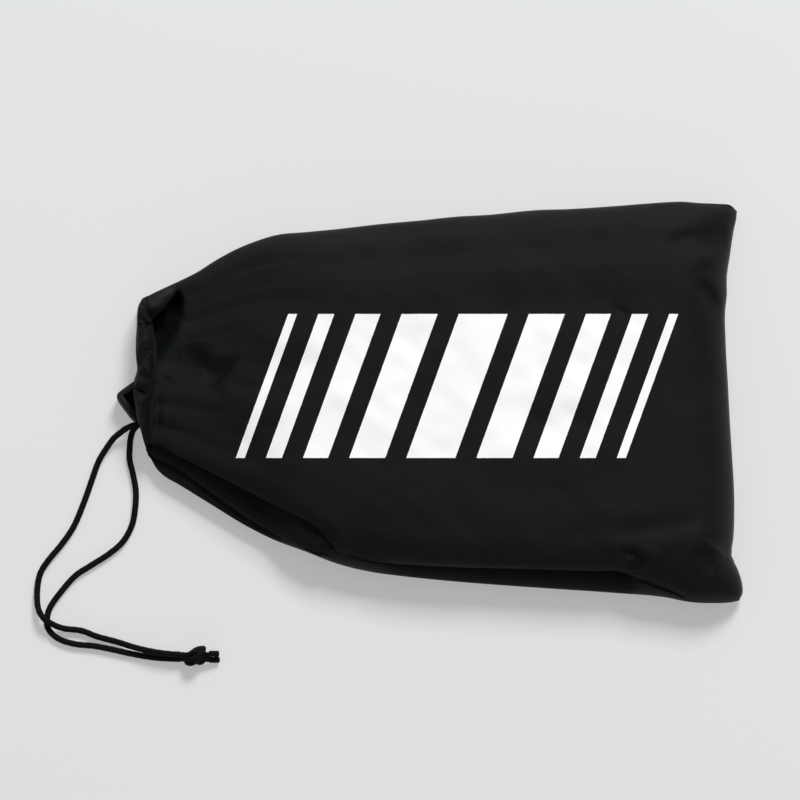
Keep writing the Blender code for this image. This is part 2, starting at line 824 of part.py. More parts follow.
def make_tongue():
    face = buckle_y() + GAP
    half = BUCKLE_WIDTH * HALF
    stop = face + TONGUE_HEAD + TONGUE_SLOT + BAR_LENGTH
    tongue = box(
        "buckle_tongue",
        (BUCKLE_X - half, face, BUCKLE_Z - BUCKLE_THICK * HALF),
        (BUCKLE_X + half, stop, BUCKLE_Z + BUCKLE_THICK * HALF),
        PLASTIC,
    )
    round_edges(tongue, BUCKLE_EDGE, BUCKLE_EDGE_STEPS)
    for side, name in ((1, "prong_right"), (-1, "prong_left")):
        outline = [(side * u, v) for u, v in prong_outline()]
        prong = as_mesh(flat_outline(name, [outline], PRONG_THICK, None, CUTTERS))
        prong.location = (BUCKLE_X, face, BUCKLE_Z)
        boolean(tongue, prong, "UNION")
    guide = box(
        "guide",
        (BUCKLE_X - GUIDE_WIDTH * HALF, face - GUIDE_LENGTH, BUCKLE_Z - PRONG_THICK * HALF),
        (BUCKLE_X + GUIDE_WIDTH * HALF, face + PRONG_ROOT_IN, BUCKLE_Z + PRONG_THICK * HALF),
        group=CUTTERS,
    )
    boolean(tongue, guide, "UNION")
    slot_half = WEBBING_WIDTH * HALF + BUCKLE_SLACK
    slot = cutter(
        "tongue_slot",
        (BUCKLE_X - slot_half, face + TONGUE_HEAD, BUCKLE_Z - BUCKLE_THICK),
        (BUCKLE_X + slot_half, stop - BAR_LENGTH, BUCKLE_Z + BUCKLE_THICK),
    )
    boolean(tongue, slot, "DIFFERENCE")
    for side in (-1, 1):
        middle = BUCKLE_Z + side * (BAR_THICK * HALF + BUCKLE_THICK * HALF)
        step = cutter(
            "tongue_bar_step_" + ("low" if side < 0 else "high"),
            (BUCKLE_X - slot_half, stop - BAR_LENGTH * BAR_STEP_SHARE, middle - BUCKLE_THICK * HALF),
            (BUCKLE_X + slot_half, stop + CUT_OVERRUN, middle + BUCKLE_THICK * HALF),
        )
        boolean(tongue, step, "DIFFERENCE")
    set_origin(tongue, (BUCKLE_X, face, BUCKLE_Z))
    return tongue


def bar_turn(bar_y, outward):
    """Webbing on its way round a buckle bar, from its upper leaf to its lower one."""
    corner = bar_y - outward * BAR_LENGTH * HALF
    turn = outward * 90
    points = []
    for level, start in ((BAR_THICK * HALF, 90), (-BAR_THICK * HALF, 90 + turn)):
        middle = (corner, BUCKLE_Z + level)
        points.extend(arc(middle, STRAP_BEND, start, start + turn, STRAP_BEND_STEPS))
    return points


def make_socket_strap():
    """The belt's fixed end: both leaves come together behind the bar, where they are sewn."""
    bar = buckle_y() - SOCKET_LENGTH + BAR_LENGTH * HALF
    edge = bar - BAR_LENGTH * HALF
    leaf = (WEBBING + GAP) * HALF
    near, far = edges_at(BUCKLE_X - WEBBING_WIDTH * HALF)
    end = near + SOCKET_STRAP_EDGE
    ends = (end, edge + (end - edge) * SOCKET_STRAP_SEAM_SHARE)
    points = [(y, BUCKLE_Z + leaf) for y in ends]
    points.append((edge, BUCKLE_Z + STRAP_LEVEL))
    points.extend(bar_turn(bar, -1))
    points.append((edge, BUCKLE_Z - STRAP_LEVEL))
    points.extend((y, BUCKLE_Z - leaf) for y in reversed(ends))
    return ribbon("socket_strap", points, BUCKLE_X, WEBBING_WIDTH, WEBBING, WEBBING_LOOK)


def tongue_bar_y():
    return buckle_y() + GAP + TONGUE_HEAD + TONGUE_SLOT + BAR_LENGTH * HALF


def tongue_strap_end():
    """Short of the bag's side by as far as the tongue travels when the buckle is opened."""
    near, far = edges_at(BUCKLE_X - WEBBING_WIDTH * HALF)
    return far - FLOOR_CURVE - PRONG_LENGTH - RELEASE_CLEAR


def make_tongue_strap():
    """The belt's free end: a long leaf over the bar, and a short one back under it."""
    bar = tongue_bar_y()
    points = [(tongue_strap_end(), BUCKLE_Z + STRAP_LEVEL)]
    points.extend(bar_turn(bar, 1))
    points.append((bar + TONGUE_STRAP_TURN, BUCKLE_Z - STRAP_LEVEL))
    strap = ribbon("tongue_strap", points, BUCKLE_X, WEBBING_WIDTH, WEBBING, WEBBING_LOOK)
    set_origin(strap, (BUCKLE_X, buckle_y() + GAP, BUCKLE_Z))
    return strap


def make_tri_glide():
    """Two side bars over the webbing and a middle bar under it, between two rails."""
    middle = tongue_strap_end() - GLIDE_LENGTH * HALF - GLIDE_END_CLEAR
    level = BUCKLE_Z + STRAP_LEVEL
    inner = WEBBING_WIDTH * HALF + GLIDE_SLACK
    outer = inner + GLIDE_RAIL
    over = level + WEBBING * HALF + GLIDE_SLACK
    under = level - WEBBING * HALF - GLIDE_SLACK
    top = over + GLIDE_BAR_THICK
    bottom = under - GLIDE_BAR_THICK
    half = GLIDE_LENGTH * HALF
    glide = box(
        "tri_glide",
        (BUCKLE_X - outer, middle - half, bottom),
        (BUCKLE_X + outer, middle + half, top),
        PLASTIC,
    )
    window = cutter(
        "glide_strap_path",
        (BUCKLE_X - inner, middle - half - CUT_OVERRUN, under),
        (BUCKLE_X + inner, middle + half + CUT_OVERRUN, over),
    )
    above = cutter(
        "glide_open_top",
        (BUCKLE_X - inner, middle - half + GLIDE_BAR, under),
        (BUCKLE_X + inner, middle + half - GLIDE_BAR, top + CUT_OVERRUN),
    )
    boolean(glide, window, "DIFFERENCE")
    boolean(glide, above, "DIFFERENCE")
    for side, name in ((-1, "glide_open_near"), (1, "glide_open_far")):
        reach = (half + CUT_OVERRUN - GLIDE_BAR * HALF) * HALF
        centre = middle + side * (GLIDE_BAR * HALF + reach)
        below = cutter(
            name,
            (BUCKLE_X - inner, centre - reach, bottom - CUT_OVERRUN),
            (BUCKLE_X + inner, centre + reach, over),
        )
        boolean(glide, below, "DIFFERENCE")
    round_edges(glide, GLIDE_EDGE, GLIDE_EDGE_STEPS)
    set_origin(glide, (BUCKLE_X, middle, level))
    return glide


def belt_near():
    """The near end of the wound belt."""
    near, far = edges_at(BELT_X - WEBBING_WIDTH * HALF)
    return near + FLOOR_CURVE + GAP


def belt_far():
    """The far end of the wound belt, which shares the bag's width with the folded tether."""
    near, far = edges_at(BELT_X - WEBBING_WIDTH * HALF)
    return belt_near() + (far - FLOOR_CURVE - belt_near()) * BELT_SHARE


def belt_path():
    """The belt's flat winding: round two centres, further out with each turn."""
    centres = (belt_far() - BELT_HALF_THICK, belt_near() + BELT_HALF_THICK)
    points = []
    half_turns = BELT_TURNS * 2
    for k in range(half_turns):
        centre = centres[k % 2]
        for step in range(BELT_ARC_STEPS + 1):
            angle = math.pi * (k + step / BELT_ARC_STEPS) - math.pi * HALF
            radius = BELT_CORE + BELT_PITCH * (k + step / BELT_ARC_STEPS) * HALF
            points.append((centre + radius * math.cos(angle), BELT_Z + radius * math.sin(angle)))
    points.append((centres[0], BELT_Z - BELT_RADIUS))
    return points


def make_belt():
    return ribbon("belt_webbing", belt_path(), BELT_X, WEBBING_WIDTH, WEBBING, WEBBING_LOOK)


def ring_y():
    return belt_near() + TAB_PLACE


def make_ring_tab():
    """Webbing round the ring's straight bar, with both leaves sewn down on the belt."""
    bar = ring_y()
    points = [(bar - TAB_LENGTH, TAB_LOW)]
    points.extend(arc((bar, RING_Z), TAB_TURN, -90, 90, TAB_TURN_STEPS))
    upper = TAB_LOW + WEBBING + GAP
    points.append((bar - TAB_LENGTH * TAB_TURN_SHARE, upper))
    points.append((bar - TAB_LENGTH, upper))
    return ribbon("ring_tab", points, BELT_X, TAB_WIDTH, WEBBING, WEBBING_LOOK)


def make_d_ring():
    """A straight bar on the joint's axis, closed by a bow that reaches towards +Y."""
    half = RING_INNER_WIDTH * HALF + RING_RADIUS
    bow = RING_REACH - RING_RADIUS
    points = [(-half, 0, 0), (0, 0, 0), (half, 0, 0)]
    for k in range(1, RING_ARC_STEPS):
        angle = math.pi * k / RING_ARC_STEPS
        points.append((half * math.cos(angle), bow * math.sin(angle), 0))
    ring = tube("belt_d_ring", points, RING_RADIUS, RING_WIRE_SIDES, STEEL, closed=True)
    ring.location = (BELT_X, ring_y(), RING_Z)
    return ring


def make_tether():
    """Webbing folded to and fro beside the wound belt."""
    edge = edges_at(BELT_X - WEBBING_WIDTH * HALF)[1] - FLOOR_CURVE
    turn = TETHER_PITCH * HALF
    bend = turn + WEBBING * HALF
    first = CLOTH + GAP + WEBBING * HALF
    near, far = belt_far() + TETHER_GAP + bend, edge - bend
    points = [(near, first)]
    for k in range(TETHER_FOLDS - 1):
        level = first + TETHER_PITCH * (k + HALF)
        if k % 2 == 0:
            points.extend(arc((far, level), turn, -90, 90, FOLD_STEPS))
        else:
            points.extend(arc((near, level), turn, 270, 90, FOLD_STEPS))
    last = first + TETHER_PITCH * (TETHER_FOLDS - 1)
    points.append((near if TETHER_FOLDS % 2 == 0 else far, last))
    return ribbon("tether_strap", points, BELT_X, TETHER_WIDTH, WEBBING, WEBBING_LOOK)


# Canopy

RIPSTOP = ((0.020, 0.022, 0.024), 0.7)
MESH_CLOTH = ((0.050, 0.052, 0.055), 0.8)
ELASTIC = ((0.018, 0.018, 0.019), 0.7)


def pack_box():
    """The room that the folded canopy fills: start, stop, near, far, bottom and top."""
    end = min(end_at(k / PANEL_ROWS) for k in range(PANEL_ROWS + 1))
    stop = end - FLOOR_CURVE - PACK_CLEAR
    near, far = edges_at(PACK_START)
    near += FLOOR_CURVE + PACK_CLEAR + BAND
    far -= FLOOR_CURVE + PACK_CLEAR + BAND
    bottom = CLOTH + GAP + BAND + GAP
    top = BAG_HEIGHT - CLOTH - PACK_HEADROOM - HANK_THICK - DOUBLE * (TIE + GAP) - GAP
    return PACK_START, stop, near, far, bottom, top


def make_gore(number):
    """One gore, folded in half, with its fold on alternate edges of the pack."""
    start, stop, near, far, bottom, top = pack_box()
    pitch = (top - bottom + LEAF_GAP) / (GORES * LEAVES)
    leaf = pitch - LEAF_GAP
    turn = pitch * HALF
    low = bottom + leaf * HALF + pitch * LEAVES * number
    high = low + pitch
    inset = turn + leaf * HALF
    if number % 2 == 0:
        edge = near + inset
        points = [(far - inset, low)]
        points.extend(arc((edge, low + turn), turn, 270, 90, FOLD_STEPS))
        points.append((far - inset, high))
    else:
        edge = far - inset
        points = [(near + inset, low)]
        points.extend(arc((edge, low + turn), turn, -90, 90, FOLD_STEPS))
        points.append((near + inset, high))
    name = "canopy_gore_" + str(number + 1)
    return ribbon(name, points, (start + stop) * HALF, stop - start, leaf, RIPSTOP)


def make_canopy_band():
    start, stop, near, far, bottom, top = pack_box()
    width = far - near + DOUBLE * GAP
    height = top - bottom + DOUBLE * GAP
    inner = rounded_box_outline(width, height, BAND, BAND_CORNER_STEPS)
    outer_width, outer_height = width + DOUBLE * BAND, height + DOUBLE * BAND
    outer = rounded_box_outline(outer_width, outer_height, BAND + BAND, BAND_CORNER_STEPS)
    band = flat_outline("canopy_band", [outer, inner], BAND_WIDTH, ELASTIC)
    band.rotation_euler = (math.pi * HALF, 0, math.pi * HALF)
    x = start + (stop - start) * BAND_SHARE
    band.location = (x, (near + far) * HALF, (bottom + top) * HALF)
    return band


def make_vent():
    """The vent's disc, in the room on the canopy between the hank and the band."""
    start, stop, near, far, bottom, top = pack_box()
    low = hank_place().x + HANK_WIDTH * HALF + VENT_CLEAR
    high = start + (stop - start) * BAND_SHARE - BAND_WIDTH * HALF - VENT_CLEAR
    mesh = bmesh.new()
    radius = (high - low) * HALF
    bmesh.ops.create_cone(
        mesh, cap_ends=True, segments=VENT_SIDES, radius1=radius, radius2=radius, depth=VENT_THICK
    )
    data = bpy.data.meshes.new("vent_mesh")
    mesh.to_mesh(data)
    mesh.free()
    vent = keep("vent_mesh", data, MESH_CLOTH)
    vent.location = ((low + high) * HALF, (near + far) * HALF, top + GAP + VENT_THICK * HALF)
    return vent


def hank_length():
    """What the line ring beside it leaves of the folded canopy's width."""
    start, stop, near, far, bottom, top = pack_box()
    ring = LINE_RING_DIAMETER + LINE_RING_WIRE + LINE_RING_GAP
    return far - near - DOUBLE * HANK_MARGIN - ring


def hank_place():
    """The middle of the hank, which lies on its tie on top of the folded canopy."""
    start, stop, near, far, bottom, top = pack_box()
    x = start + HANK_MARGIN + HANK_WIDTH * HALF
    y = near + HANK_MARGIN + hank_length() * HALF
    return Vector((x, y, top + GAP + TIE + GAP + HANK_THICK * HALF))


def make_hank():
    """The outer shape of the lines' loops: a flat piece with round ends."""
    run = (hank_length() - HANK_WIDTH) * HALF
    radius = HANK_WIDTH * HALF
    outline = arc((0, run), radius, 0, 180, HANK_END_STEPS)
    outline.extend(arc((0, -run), radius, 180, 360, HANK_END_STEPS))
    hank = flat_outline("line_hank", [outline], HANK_THICK, RIPSTOP)
    hank.location = hank_place()
    return hank


def make_hank_tie():
    width = HANK_WIDTH + DOUBLE * GAP
    height = HANK_THICK + DOUBLE * GAP
    inner = rounded_box_outline(width, height, TIE, BAND_CORNER_STEPS)
    outer_width, outer_height = width + DOUBLE * TIE, height + DOUBLE * TIE
    outer = rounded_box_outline(outer_width, outer_height, TIE + TIE, BAND_CORNER_STEPS)
    tie = flat_outline("hank_tie", [outer, inner], TIE_WIDTH, ELASTIC)
    tie.rotation_euler = (math.pi * HALF, 0, 0)
    tie.location = hank_place()
    return tie


def make_line_ring():
    start, stop, near, far, bottom, top = pack_box()
    middle = hank_place()
    y = middle.y + hank_length() * HALF + LINE_RING_GAP + (LINE_RING_DIAMETER + LINE_RING_WIRE) * HALF
    bpy.ops.mesh.primitive_torus_add(
        major_segments=LINE_RING_STEPS,
        minor_segments=LINE_RING_SIDES,
        major_radius=LINE_RING_DIAMETER * HALF,
        minor_radius=LINE_RING_WIRE * HALF,
        location=(middle.x, y, top + GAP + LINE_RING_WIRE * HALF),
    )
    ring = bpy.context.object
    ring.name = "line_ring"
    ring.data.name = "line_ring"
    ring.data.materials.append(material("line_ring", *STEEL))
    ring.data.shade_smooth()
    for group in ring.users_collection:
        group.objects.unlink(ring)
    PARTS.objects.link(ring)
    return ring


# Assembly


def hinge_point():
    return Vector((HINGE_X, 0, height_at(HINGE_X)))


def clear_scene():
    for obj in list(bpy.data.objects):
        bpy.data.objects.remove(obj, do_unlink=True)


clear_scene()
PARTS = new_collection("speed_parachute")
CUTTERS = new_collection("cutters")

make_back_panel()
make_front_panel()
lifting = [
    make_front_lip(),
    make_hem("front_hem_channel", top_z, -1),
    make_cord_run("drawcord_front_run", top_z, -1),
]
for piece in lifting:
    set_origin(piece, hinge_point())
make_hem("back_hem_channel", floor_z, 1)
make_channel_end_loop()
make_cord_run("drawcord_back_run", floor_z, 1)
make_cord_leg("drawcord_leg_a", LEG_A_ROUTE)
make_cord_leg("drawcord_leg_b", LEG_B_ROUTE)
make_knot()
make_cord_tail("drawcord_tail_a", TAIL_A_ROUTE)
make_cord_tail("drawcord_tail_b", TAIL_B_ROUTE)

make_socket()
make_tongue()
make_socket_strap()
make_tongue_strap()
make_tri_glide()
make_belt()
make_ring_tab()
make_d_ring()
make_tether()

for gore in range(GORES):
    make_gore(gore)
make_canopy_band()
make_vent()
make_hank()
make_hank_tie()
make_line_ring()
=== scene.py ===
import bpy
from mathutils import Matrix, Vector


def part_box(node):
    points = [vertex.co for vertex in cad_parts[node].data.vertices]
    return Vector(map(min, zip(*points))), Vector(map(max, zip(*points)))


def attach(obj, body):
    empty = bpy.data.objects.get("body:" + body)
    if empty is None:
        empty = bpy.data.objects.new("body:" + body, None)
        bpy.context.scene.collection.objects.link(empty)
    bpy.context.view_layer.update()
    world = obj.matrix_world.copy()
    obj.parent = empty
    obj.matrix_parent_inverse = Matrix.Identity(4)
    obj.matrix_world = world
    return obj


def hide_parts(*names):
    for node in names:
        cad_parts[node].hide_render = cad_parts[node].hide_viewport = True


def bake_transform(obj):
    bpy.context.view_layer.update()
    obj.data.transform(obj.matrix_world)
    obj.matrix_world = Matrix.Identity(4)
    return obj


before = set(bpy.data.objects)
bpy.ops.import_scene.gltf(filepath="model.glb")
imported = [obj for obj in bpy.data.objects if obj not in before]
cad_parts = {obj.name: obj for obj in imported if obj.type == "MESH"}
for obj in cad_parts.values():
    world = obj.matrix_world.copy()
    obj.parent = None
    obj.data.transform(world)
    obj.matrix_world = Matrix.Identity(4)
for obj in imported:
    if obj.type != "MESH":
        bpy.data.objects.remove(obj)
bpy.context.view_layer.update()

import math

import bmesh
import bpy
import numpy as np
from mathutils import Matrix, Vector
from mathutils.bvhtree import BVHTree

# Lengths are in metres, and places named PX are pixels of the 800 pixel view.
MM = 0.001

# Camera

IMAGE = 800
PIXEL = 0.56 * MM
REFERENCE_PX = (429.5, 401.4)
REFERENCE_Z = 0.016
ELEVATION = math.radians(78)
DISTANCE = 4.0
SENSOR = 36.0

LOOK = np.array([0.0, math.cos(ELEVATION), -math.sin(ELEVATION)])
UP = np.array([0.0, math.sin(ELEVATION), math.cos(ELEVATION)])
RIGHT = np.array([1.0, 0.0, 0.0])
AIM = (
    np.array([0.0, 0.0, REFERENCE_Z])
    + RIGHT * (IMAGE / 2 - REFERENCE_PX[0]) * PIXEL
    + UP * (REFERENCE_PX[1] - IMAGE / 2) * PIXEL
)
EYE = AIM - LOOK * DISTANCE


def make_camera():
    data = bpy.data.cameras.new("camera")
    data.sensor_width = SENSOR
    data.lens = SENSOR * DISTANCE / (IMAGE * PIXEL)
    data.clip_end = 50.0
    camera = bpy.data.objects.new("camera", data)
    bpy.context.scene.collection.objects.link(camera)
    turn = Matrix((RIGHT, UP, -LOOK)).transposed().to_4x4()
    camera.matrix_world = Matrix.Translation(Vector(EYE)) @ turn
    bpy.context.scene.camera = camera


make_camera()


def at_pixel(px, py, z):
    """World points that the camera sees at pixels px, py, at heights z."""
    px, py, z = np.broadcast_arrays(np.asarray(px, float), py, z)
    step = PIXEL / DISTANCE
    ray = (
        LOOK
        + RIGHT * ((px - IMAGE / 2) * step)[..., None]
        + UP * ((IMAGE / 2 - py) * step)[..., None]
    )
    reach = (z - EYE[2]) / ray[..., 2]
    return EYE + ray * reach[..., None]


# Numbers and curves


def lerp(a, b, t):
    return a + (b - a) * t


def smooth(t):
    t = np.clip(t, 0, 1)
    return t * t * (3 - 2 * t)


def table(rows, x):
    """A smooth column of a table, read at x."""
    rows = np.asarray(rows, float)
    xs, ys = rows[:, 0], rows[:, 1]
    slopes = np.gradient(ys, xs)
    x = np.clip(np.asarray(x, float), xs[0], xs[-1])
    k = np.clip(np.searchsorted(xs, x) - 1, 0, len(xs) - 2)
    span = xs[k + 1] - xs[k]
    t = (x - xs[k]) / span
    rise = ys[k + 1] - ys[k]
    a = slopes[k] * span - rise
    b = rise - slopes[k + 1] * span
    return ys[k] + t * rise + t * (1 - t) * ((1 - t) * a + t * b)


def straight(rows, x):
    rows = np.asarray(rows, float)
    return np.interp(x, rows[:, 0], rows[:, 1])


def reach_of(points):
    """Length along a line at each of its points."""
    return np.concatenate([[0], np.cumsum(np.linalg.norm(np.diff(points, axis=0), axis=1))])


def walk(points, reach, where):
    """Places at lengths along a line."""
    return np.stack([np.interp(where, reach, column) for column in points.T], -1)


def along(points, shares):
    """Points at shares, from 0 to 1, of a polyline's length, rounded a little between its own points."""
    points = np.asarray(points, float)
    reach = reach_of(points)
    where = np.asarray(shares, float) * reach[-1]
    return np.stack([table(np.stack([reach, column], 1), where) for column in points.T], -1)


def waves(x, y, size, seed, count=18):
    """Soft uneven noise, about from -1 to 1, with humps about size across."""
    rng = np.random.default_rng(seed)
    total = np.zeros(np.broadcast(x, y).shape)
    for k in range(count):
        angle = rng.uniform(0, math.pi)
        rate = 2 * math.pi / (size * rng.uniform(1.3, 3.2))
        total += np.sin((np.cos(angle) * x + np.sin(angle) * y) * rate + rng.uniform(0, 2 * math.pi))
    return total / math.sqrt(count)


# Meshes


def link(name, data):
    obj = bpy.data.objects.new(name, data)
    bpy.context.scene.collection.objects.link(obj)
    return obj


def mesh_object(name, points, faces, uv=None, flat=False):
    """A mesh object from points and faces, with a UV place for every point."""
    points = np.asarray(points, float).reshape(-1, 3)
    data = bpy.data.meshes.new(name)
    data.from_pydata([tuple(p) for p in points], [], [tuple(f) for f in faces])
    if uv is not None:
        uv = np.asarray(uv, float).reshape(-1, 2)
        layer = data.uv_layers.new(name="UVMap")
        index = np.zeros(len(data.loops), np.int32)
        data.loops.foreach_get("vertex_index", index)
        layer.data.foreach_set("uv", uv[index].astype(np.float32).ravel())
    data.validate()
    if not flat:
        data.shade_smooth()
    return link(name, data)


def grid_faces(rows, columns, start=0, wrap=False):
    """Quads of a grid of points that is stored row by row. wrap closes each row."""
    faces = []
    across = columns if wrap else columns - 1
    for i in range(rows - 1):
        for j in range(across):
            a = start + i * columns + j
            b = start + i * columns + (j + 1) % columns
            faces.append((a, b, b + columns, a + columns))
    return faces


def grid_uv(across, down):
    """UV places of a grid, from the places of its columns and of its rows in metres."""
    return np.stack(np.broadcast_arrays(across[None, :], down[:, None]), -1)


def end_caps(rows, columns):
    """One face across each end of a grid whose rows are closed."""
    return [tuple(range(columns))[::-1], tuple(range((rows - 1) * columns, rows * columns))]


def apply_modifiers(obj):
    bpy.context.view_layer.update()
    graph = bpy.context.evaluated_depsgraph_get()
    data = bpy.data.meshes.new_from_object(obj.evaluated_get(graph))
    old = obj.data
    obj.modifiers.clear()
    obj.data = data
    bpy.data.meshes.remove(old)
    return obj


def thicken(obj, thickness, offset=-1.0):
    solid = obj.modifiers.new("Thickness", "SOLIDIFY")
    solid.thickness = thickness
    solid.offset = offset
    return apply_modifiers(obj)


def rings_along(points, angle):
    """Directions at angles round a line, in frames that follow it without twist."""
    tangents = np.gradient(points, axis=0)
    tangents /= np.linalg.norm(tangents, axis=1)[:, None]
    side = np.cross(tangents[0], [0, 0, 1.0])
    if np.linalg.norm(side) < 0.1:
        side = np.cross(tangents[0], [0, 1.0, 0])
    side /= np.linalg.norm(side)
    sides = [side]
    for tangent in tangents[1:]:
        side = side - tangent * (side @ tangent)
        side /= np.linalg.norm(side)
        sides.append(side)
    sides = np.array(sides)
    others = np.cross(tangents, sides)
    across, up = (wave(angle)[None, :, None] for wave in (np.cos, np.sin))
    return across * sides[:, None, :] + up * others[:, None, :]


def resample(points, spacing):
    reach = reach_of(points)
    count = max(int(round(reach[-1] / spacing)) + 1, 3)
    return walk(points, reach, np.linspace(0, reach[-1], count))


def smooth_route(route, spacing):
    """A smooth curve through a route's own points, with evenly spaced points."""
    points = np.asarray(route, float)
    fine = []
    last = len(points) - 1
    for k in range(last):
        before = points[k - 1] if k else points[k] * 2 - points[k + 1]
        after = points[k + 2] if k + 1 < last else points[k + 1] * 2 - points[k]
        slope_in = (points[k + 1] - before) / 2
        slope_out = (after - points[k]) / 2
        rise = points[k + 1] - points[k]
        for t in np.linspace(0, 1, 24, endpoint=False):
            bend = (1 - t) * (slope_in - rise) + t * (rise - slope_out)
            fine.append(points[k] + t * rise + t * (1 - t) * bend)
    fine.append(points[last])
    return resample(np.array(fine), spacing)


BRAID_CARRIERS = 8
BRAID_PITCH = 4.6 * MM
BRAID_RELIEF = 0.035
END_LENGTH, END_RADIUS, END_SWELL = 0.3, 0.82, 0.18


def braided(name, points, diameter, sides=26):
    """A braided cord: a tube whose surface has the diamonds of two sets of strands, drawn in at its ends."""
    reach = reach_of(points)
    angle = np.linspace(0, 2 * math.pi, sides, endpoint=False)
    turn = reach[:, None] * 2 * math.pi / BRAID_PITCH
    left, right = (np.cos(BRAID_CARRIERS / 2 * angle[None, :] + way * turn) for way in (1, -1))
    radius = diameter / 2 * (1 - BRAID_RELIEF + BRAID_RELIEF * np.maximum(left, right))
    end = END_LENGTH * diameter
    fade = np.clip(reach / end, 0, 1) * np.clip((reach[-1] - reach) / end, 0, 1)
    radius = radius * (END_RADIUS + END_SWELL * np.sqrt(fade))[:, None]
    body = points[:, None, :] + rings_along(points, angle) * radius[:, :, None]
    count = len(points)
    faces = grid_faces(count, sides, wrap=True)
    all_points = np.concatenate([body.reshape(-1, 3), points[:1], points[-1:]])
    first, last = count * sides, count * sides + 1
    for j in range(sides):
        k = (j + 1) % sides
        faces.append((first, k, j))
        faces.append((last, (count - 1) * sides + j, (count - 1) * sides + k))
    around = angle / (2 * math.pi) * math.pi * diameter
    uv = np.concatenate([grid_uv(around, reach).reshape(-1, 2), [[0, 0]], [[0, reach[-1]]]])
    return mesh_object(name, all_points, faces, uv)


def tube(name, line, radius, sides):
    angle = np.linspace(0, 2 * math.pi, sides, endpoint=False)
    body = line[:, None, :] + rings_along(line, angle) * radius
    faces = grid_faces(len(line), sides, wrap=True) + end_caps(len(line), sides)
    return mesh_object(name, body, faces, grid_uv(angle * radius, reach_of(line)))


def join(name, pieces):
    """One mesh object from several."""
    joined = bmesh.new()
    for piece in pieces:
        joined.from_mesh(piece.data)
    data = bpy.data.meshes.new(name)
    joined.to_mesh(data)
    joined.free()
    for piece in pieces:
        old = piece.data
        bpy.data.objects.remove(piece)
        bpy.data.meshes.remove(old)
    data.shade_smooth()
    return link(name, data)


def stay(piece, body, slot, *nodes):
    """A piece that goes with one body, and the nodes that it stands for; its colour slot is not used."""
    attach(piece, body)
    if nodes:
        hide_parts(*nodes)
    return piece


# Materials


class Nodes:
    """Short calls for making a material's nodes."""

    def __init__(self, name):
        self.material = bpy.data.materials.new(name)
        self.material.use_nodes = True
        self.tree = self.material.node_tree
        self.shader = self.tree.nodes["Principled BSDF"]

    def node(self, kind, **values):
        made = self.tree.nodes.new(kind)
        for key, value in values.items():
            setattr(made, key, value)
        return made

    def put(self, socket, value):
        if hasattr(value, "is_output"):
            self.tree.links.new(value, socket)
        else:
            socket.default_value = value

    def math(self, operation, a, b=0.0, c=0.0):
        made = self.node("ShaderNodeMath", operation=operation)
        for socket, value in zip(made.inputs, (a, b, c)):
            self.put(socket, value)
        return made.outputs[0]

    def times(self, a, b, plus=None):
        if plus is None:
            return self.math("MULTIPLY", a, b)
        return self.math("MULTIPLY_ADD", a, b, plus)

    def hump(self, place, rate, wave="SINE"):
        """Humps from 0 to 1 along a place."""
        return self.math("ABSOLUTE", self.math(wave, self.times(place, rate)))

    def crossed(self, u, v, pitch):
        """Two sets of slanted threads, and the higher of them at each place."""
        rate = 2 * math.pi / pitch
        both = (self.math("SINE", self.times(self.math(way, u, v), rate)) for way in ("ADD", "SUBTRACT"))
        return self.math("MAXIMUM", *both)

    def mix(self, share, a, b):
        made = self.node("ShaderNodeMix", data_type="RGBA")
        self.put(made.inputs[0], share)
        for socket, value in ((made.inputs[6], a), (made.inputs[7], b)):
            self.put(socket, value if hasattr(value, "is_output") else (*value, 1.0))
        return made.outputs[2]

    def noise(self, vector, scale, detail=2.0, roughness=0.5):
        made = self.node("ShaderNodeTexNoise")
        self.put(made.inputs["Vector"], vector)
        made.inputs["Scale"].default_value = scale
        made.inputs["Detail"].default_value = detail
        made.inputs["Roughness"].default_value = roughness
        return made.outputs["Fac"]

    def uv(self):
        return self.node("ShaderNodeUVMap", uv_map="UVMap").outputs[0]

    def place(self):
        return self.node("ShaderNodeTexCoord").outputs["Object"]

    def split(self, vector):
        made = self.node("ShaderNodeSeparateXYZ")
        self.put(made.inputs[0], vector)
        return made.outputs[0], made.outputs[1]

    def bump(self, height, distance, strength=1.0, under=None):
        made = self.node("ShaderNodeBump")
        made.inputs["Distance"].default_value = distance
        made.inputs["Strength"].default_value = strength
        self.put(made.inputs["Height"], height)
        if under is not None:
            self.put(made.inputs["Normal"], under)
        return made.outputs[0]

    def set(self, **values):
        for key, value in values.items():
            socket = self.shader.inputs[key.replace("_", " ")]
            if isinstance(value, tuple) and len(value) == 3:
                value = (*value, 1.0)
            self.put(socket, value)


def plain_weave(n, u, v, pitch):
    """Height, from 0 to 1, of threads that pass over and under each other, and where the warp is on top."""
    across, down = (n.times(place, math.pi / pitch) for place in (u, v))
    warp, weft = (n.math("ABSOLUTE", n.math("SINE", place)) for place in (across, down))
    cell, cell_down = (n.math("SINE", n.math("ADD", place, math.pi / 2)) for place in (across, down))
    over = n.times(n.times(cell, cell_down), 2.0, 0.5)
    over = n.math("MINIMUM", n.math("MAXIMUM", over, 0.0), 1.0)
    return n.math("ADD", n.times(warp, over), n.times(weft, n.math("SUBTRACT", 1.0, over))), over


RIB_SHARPNESS = 26.0


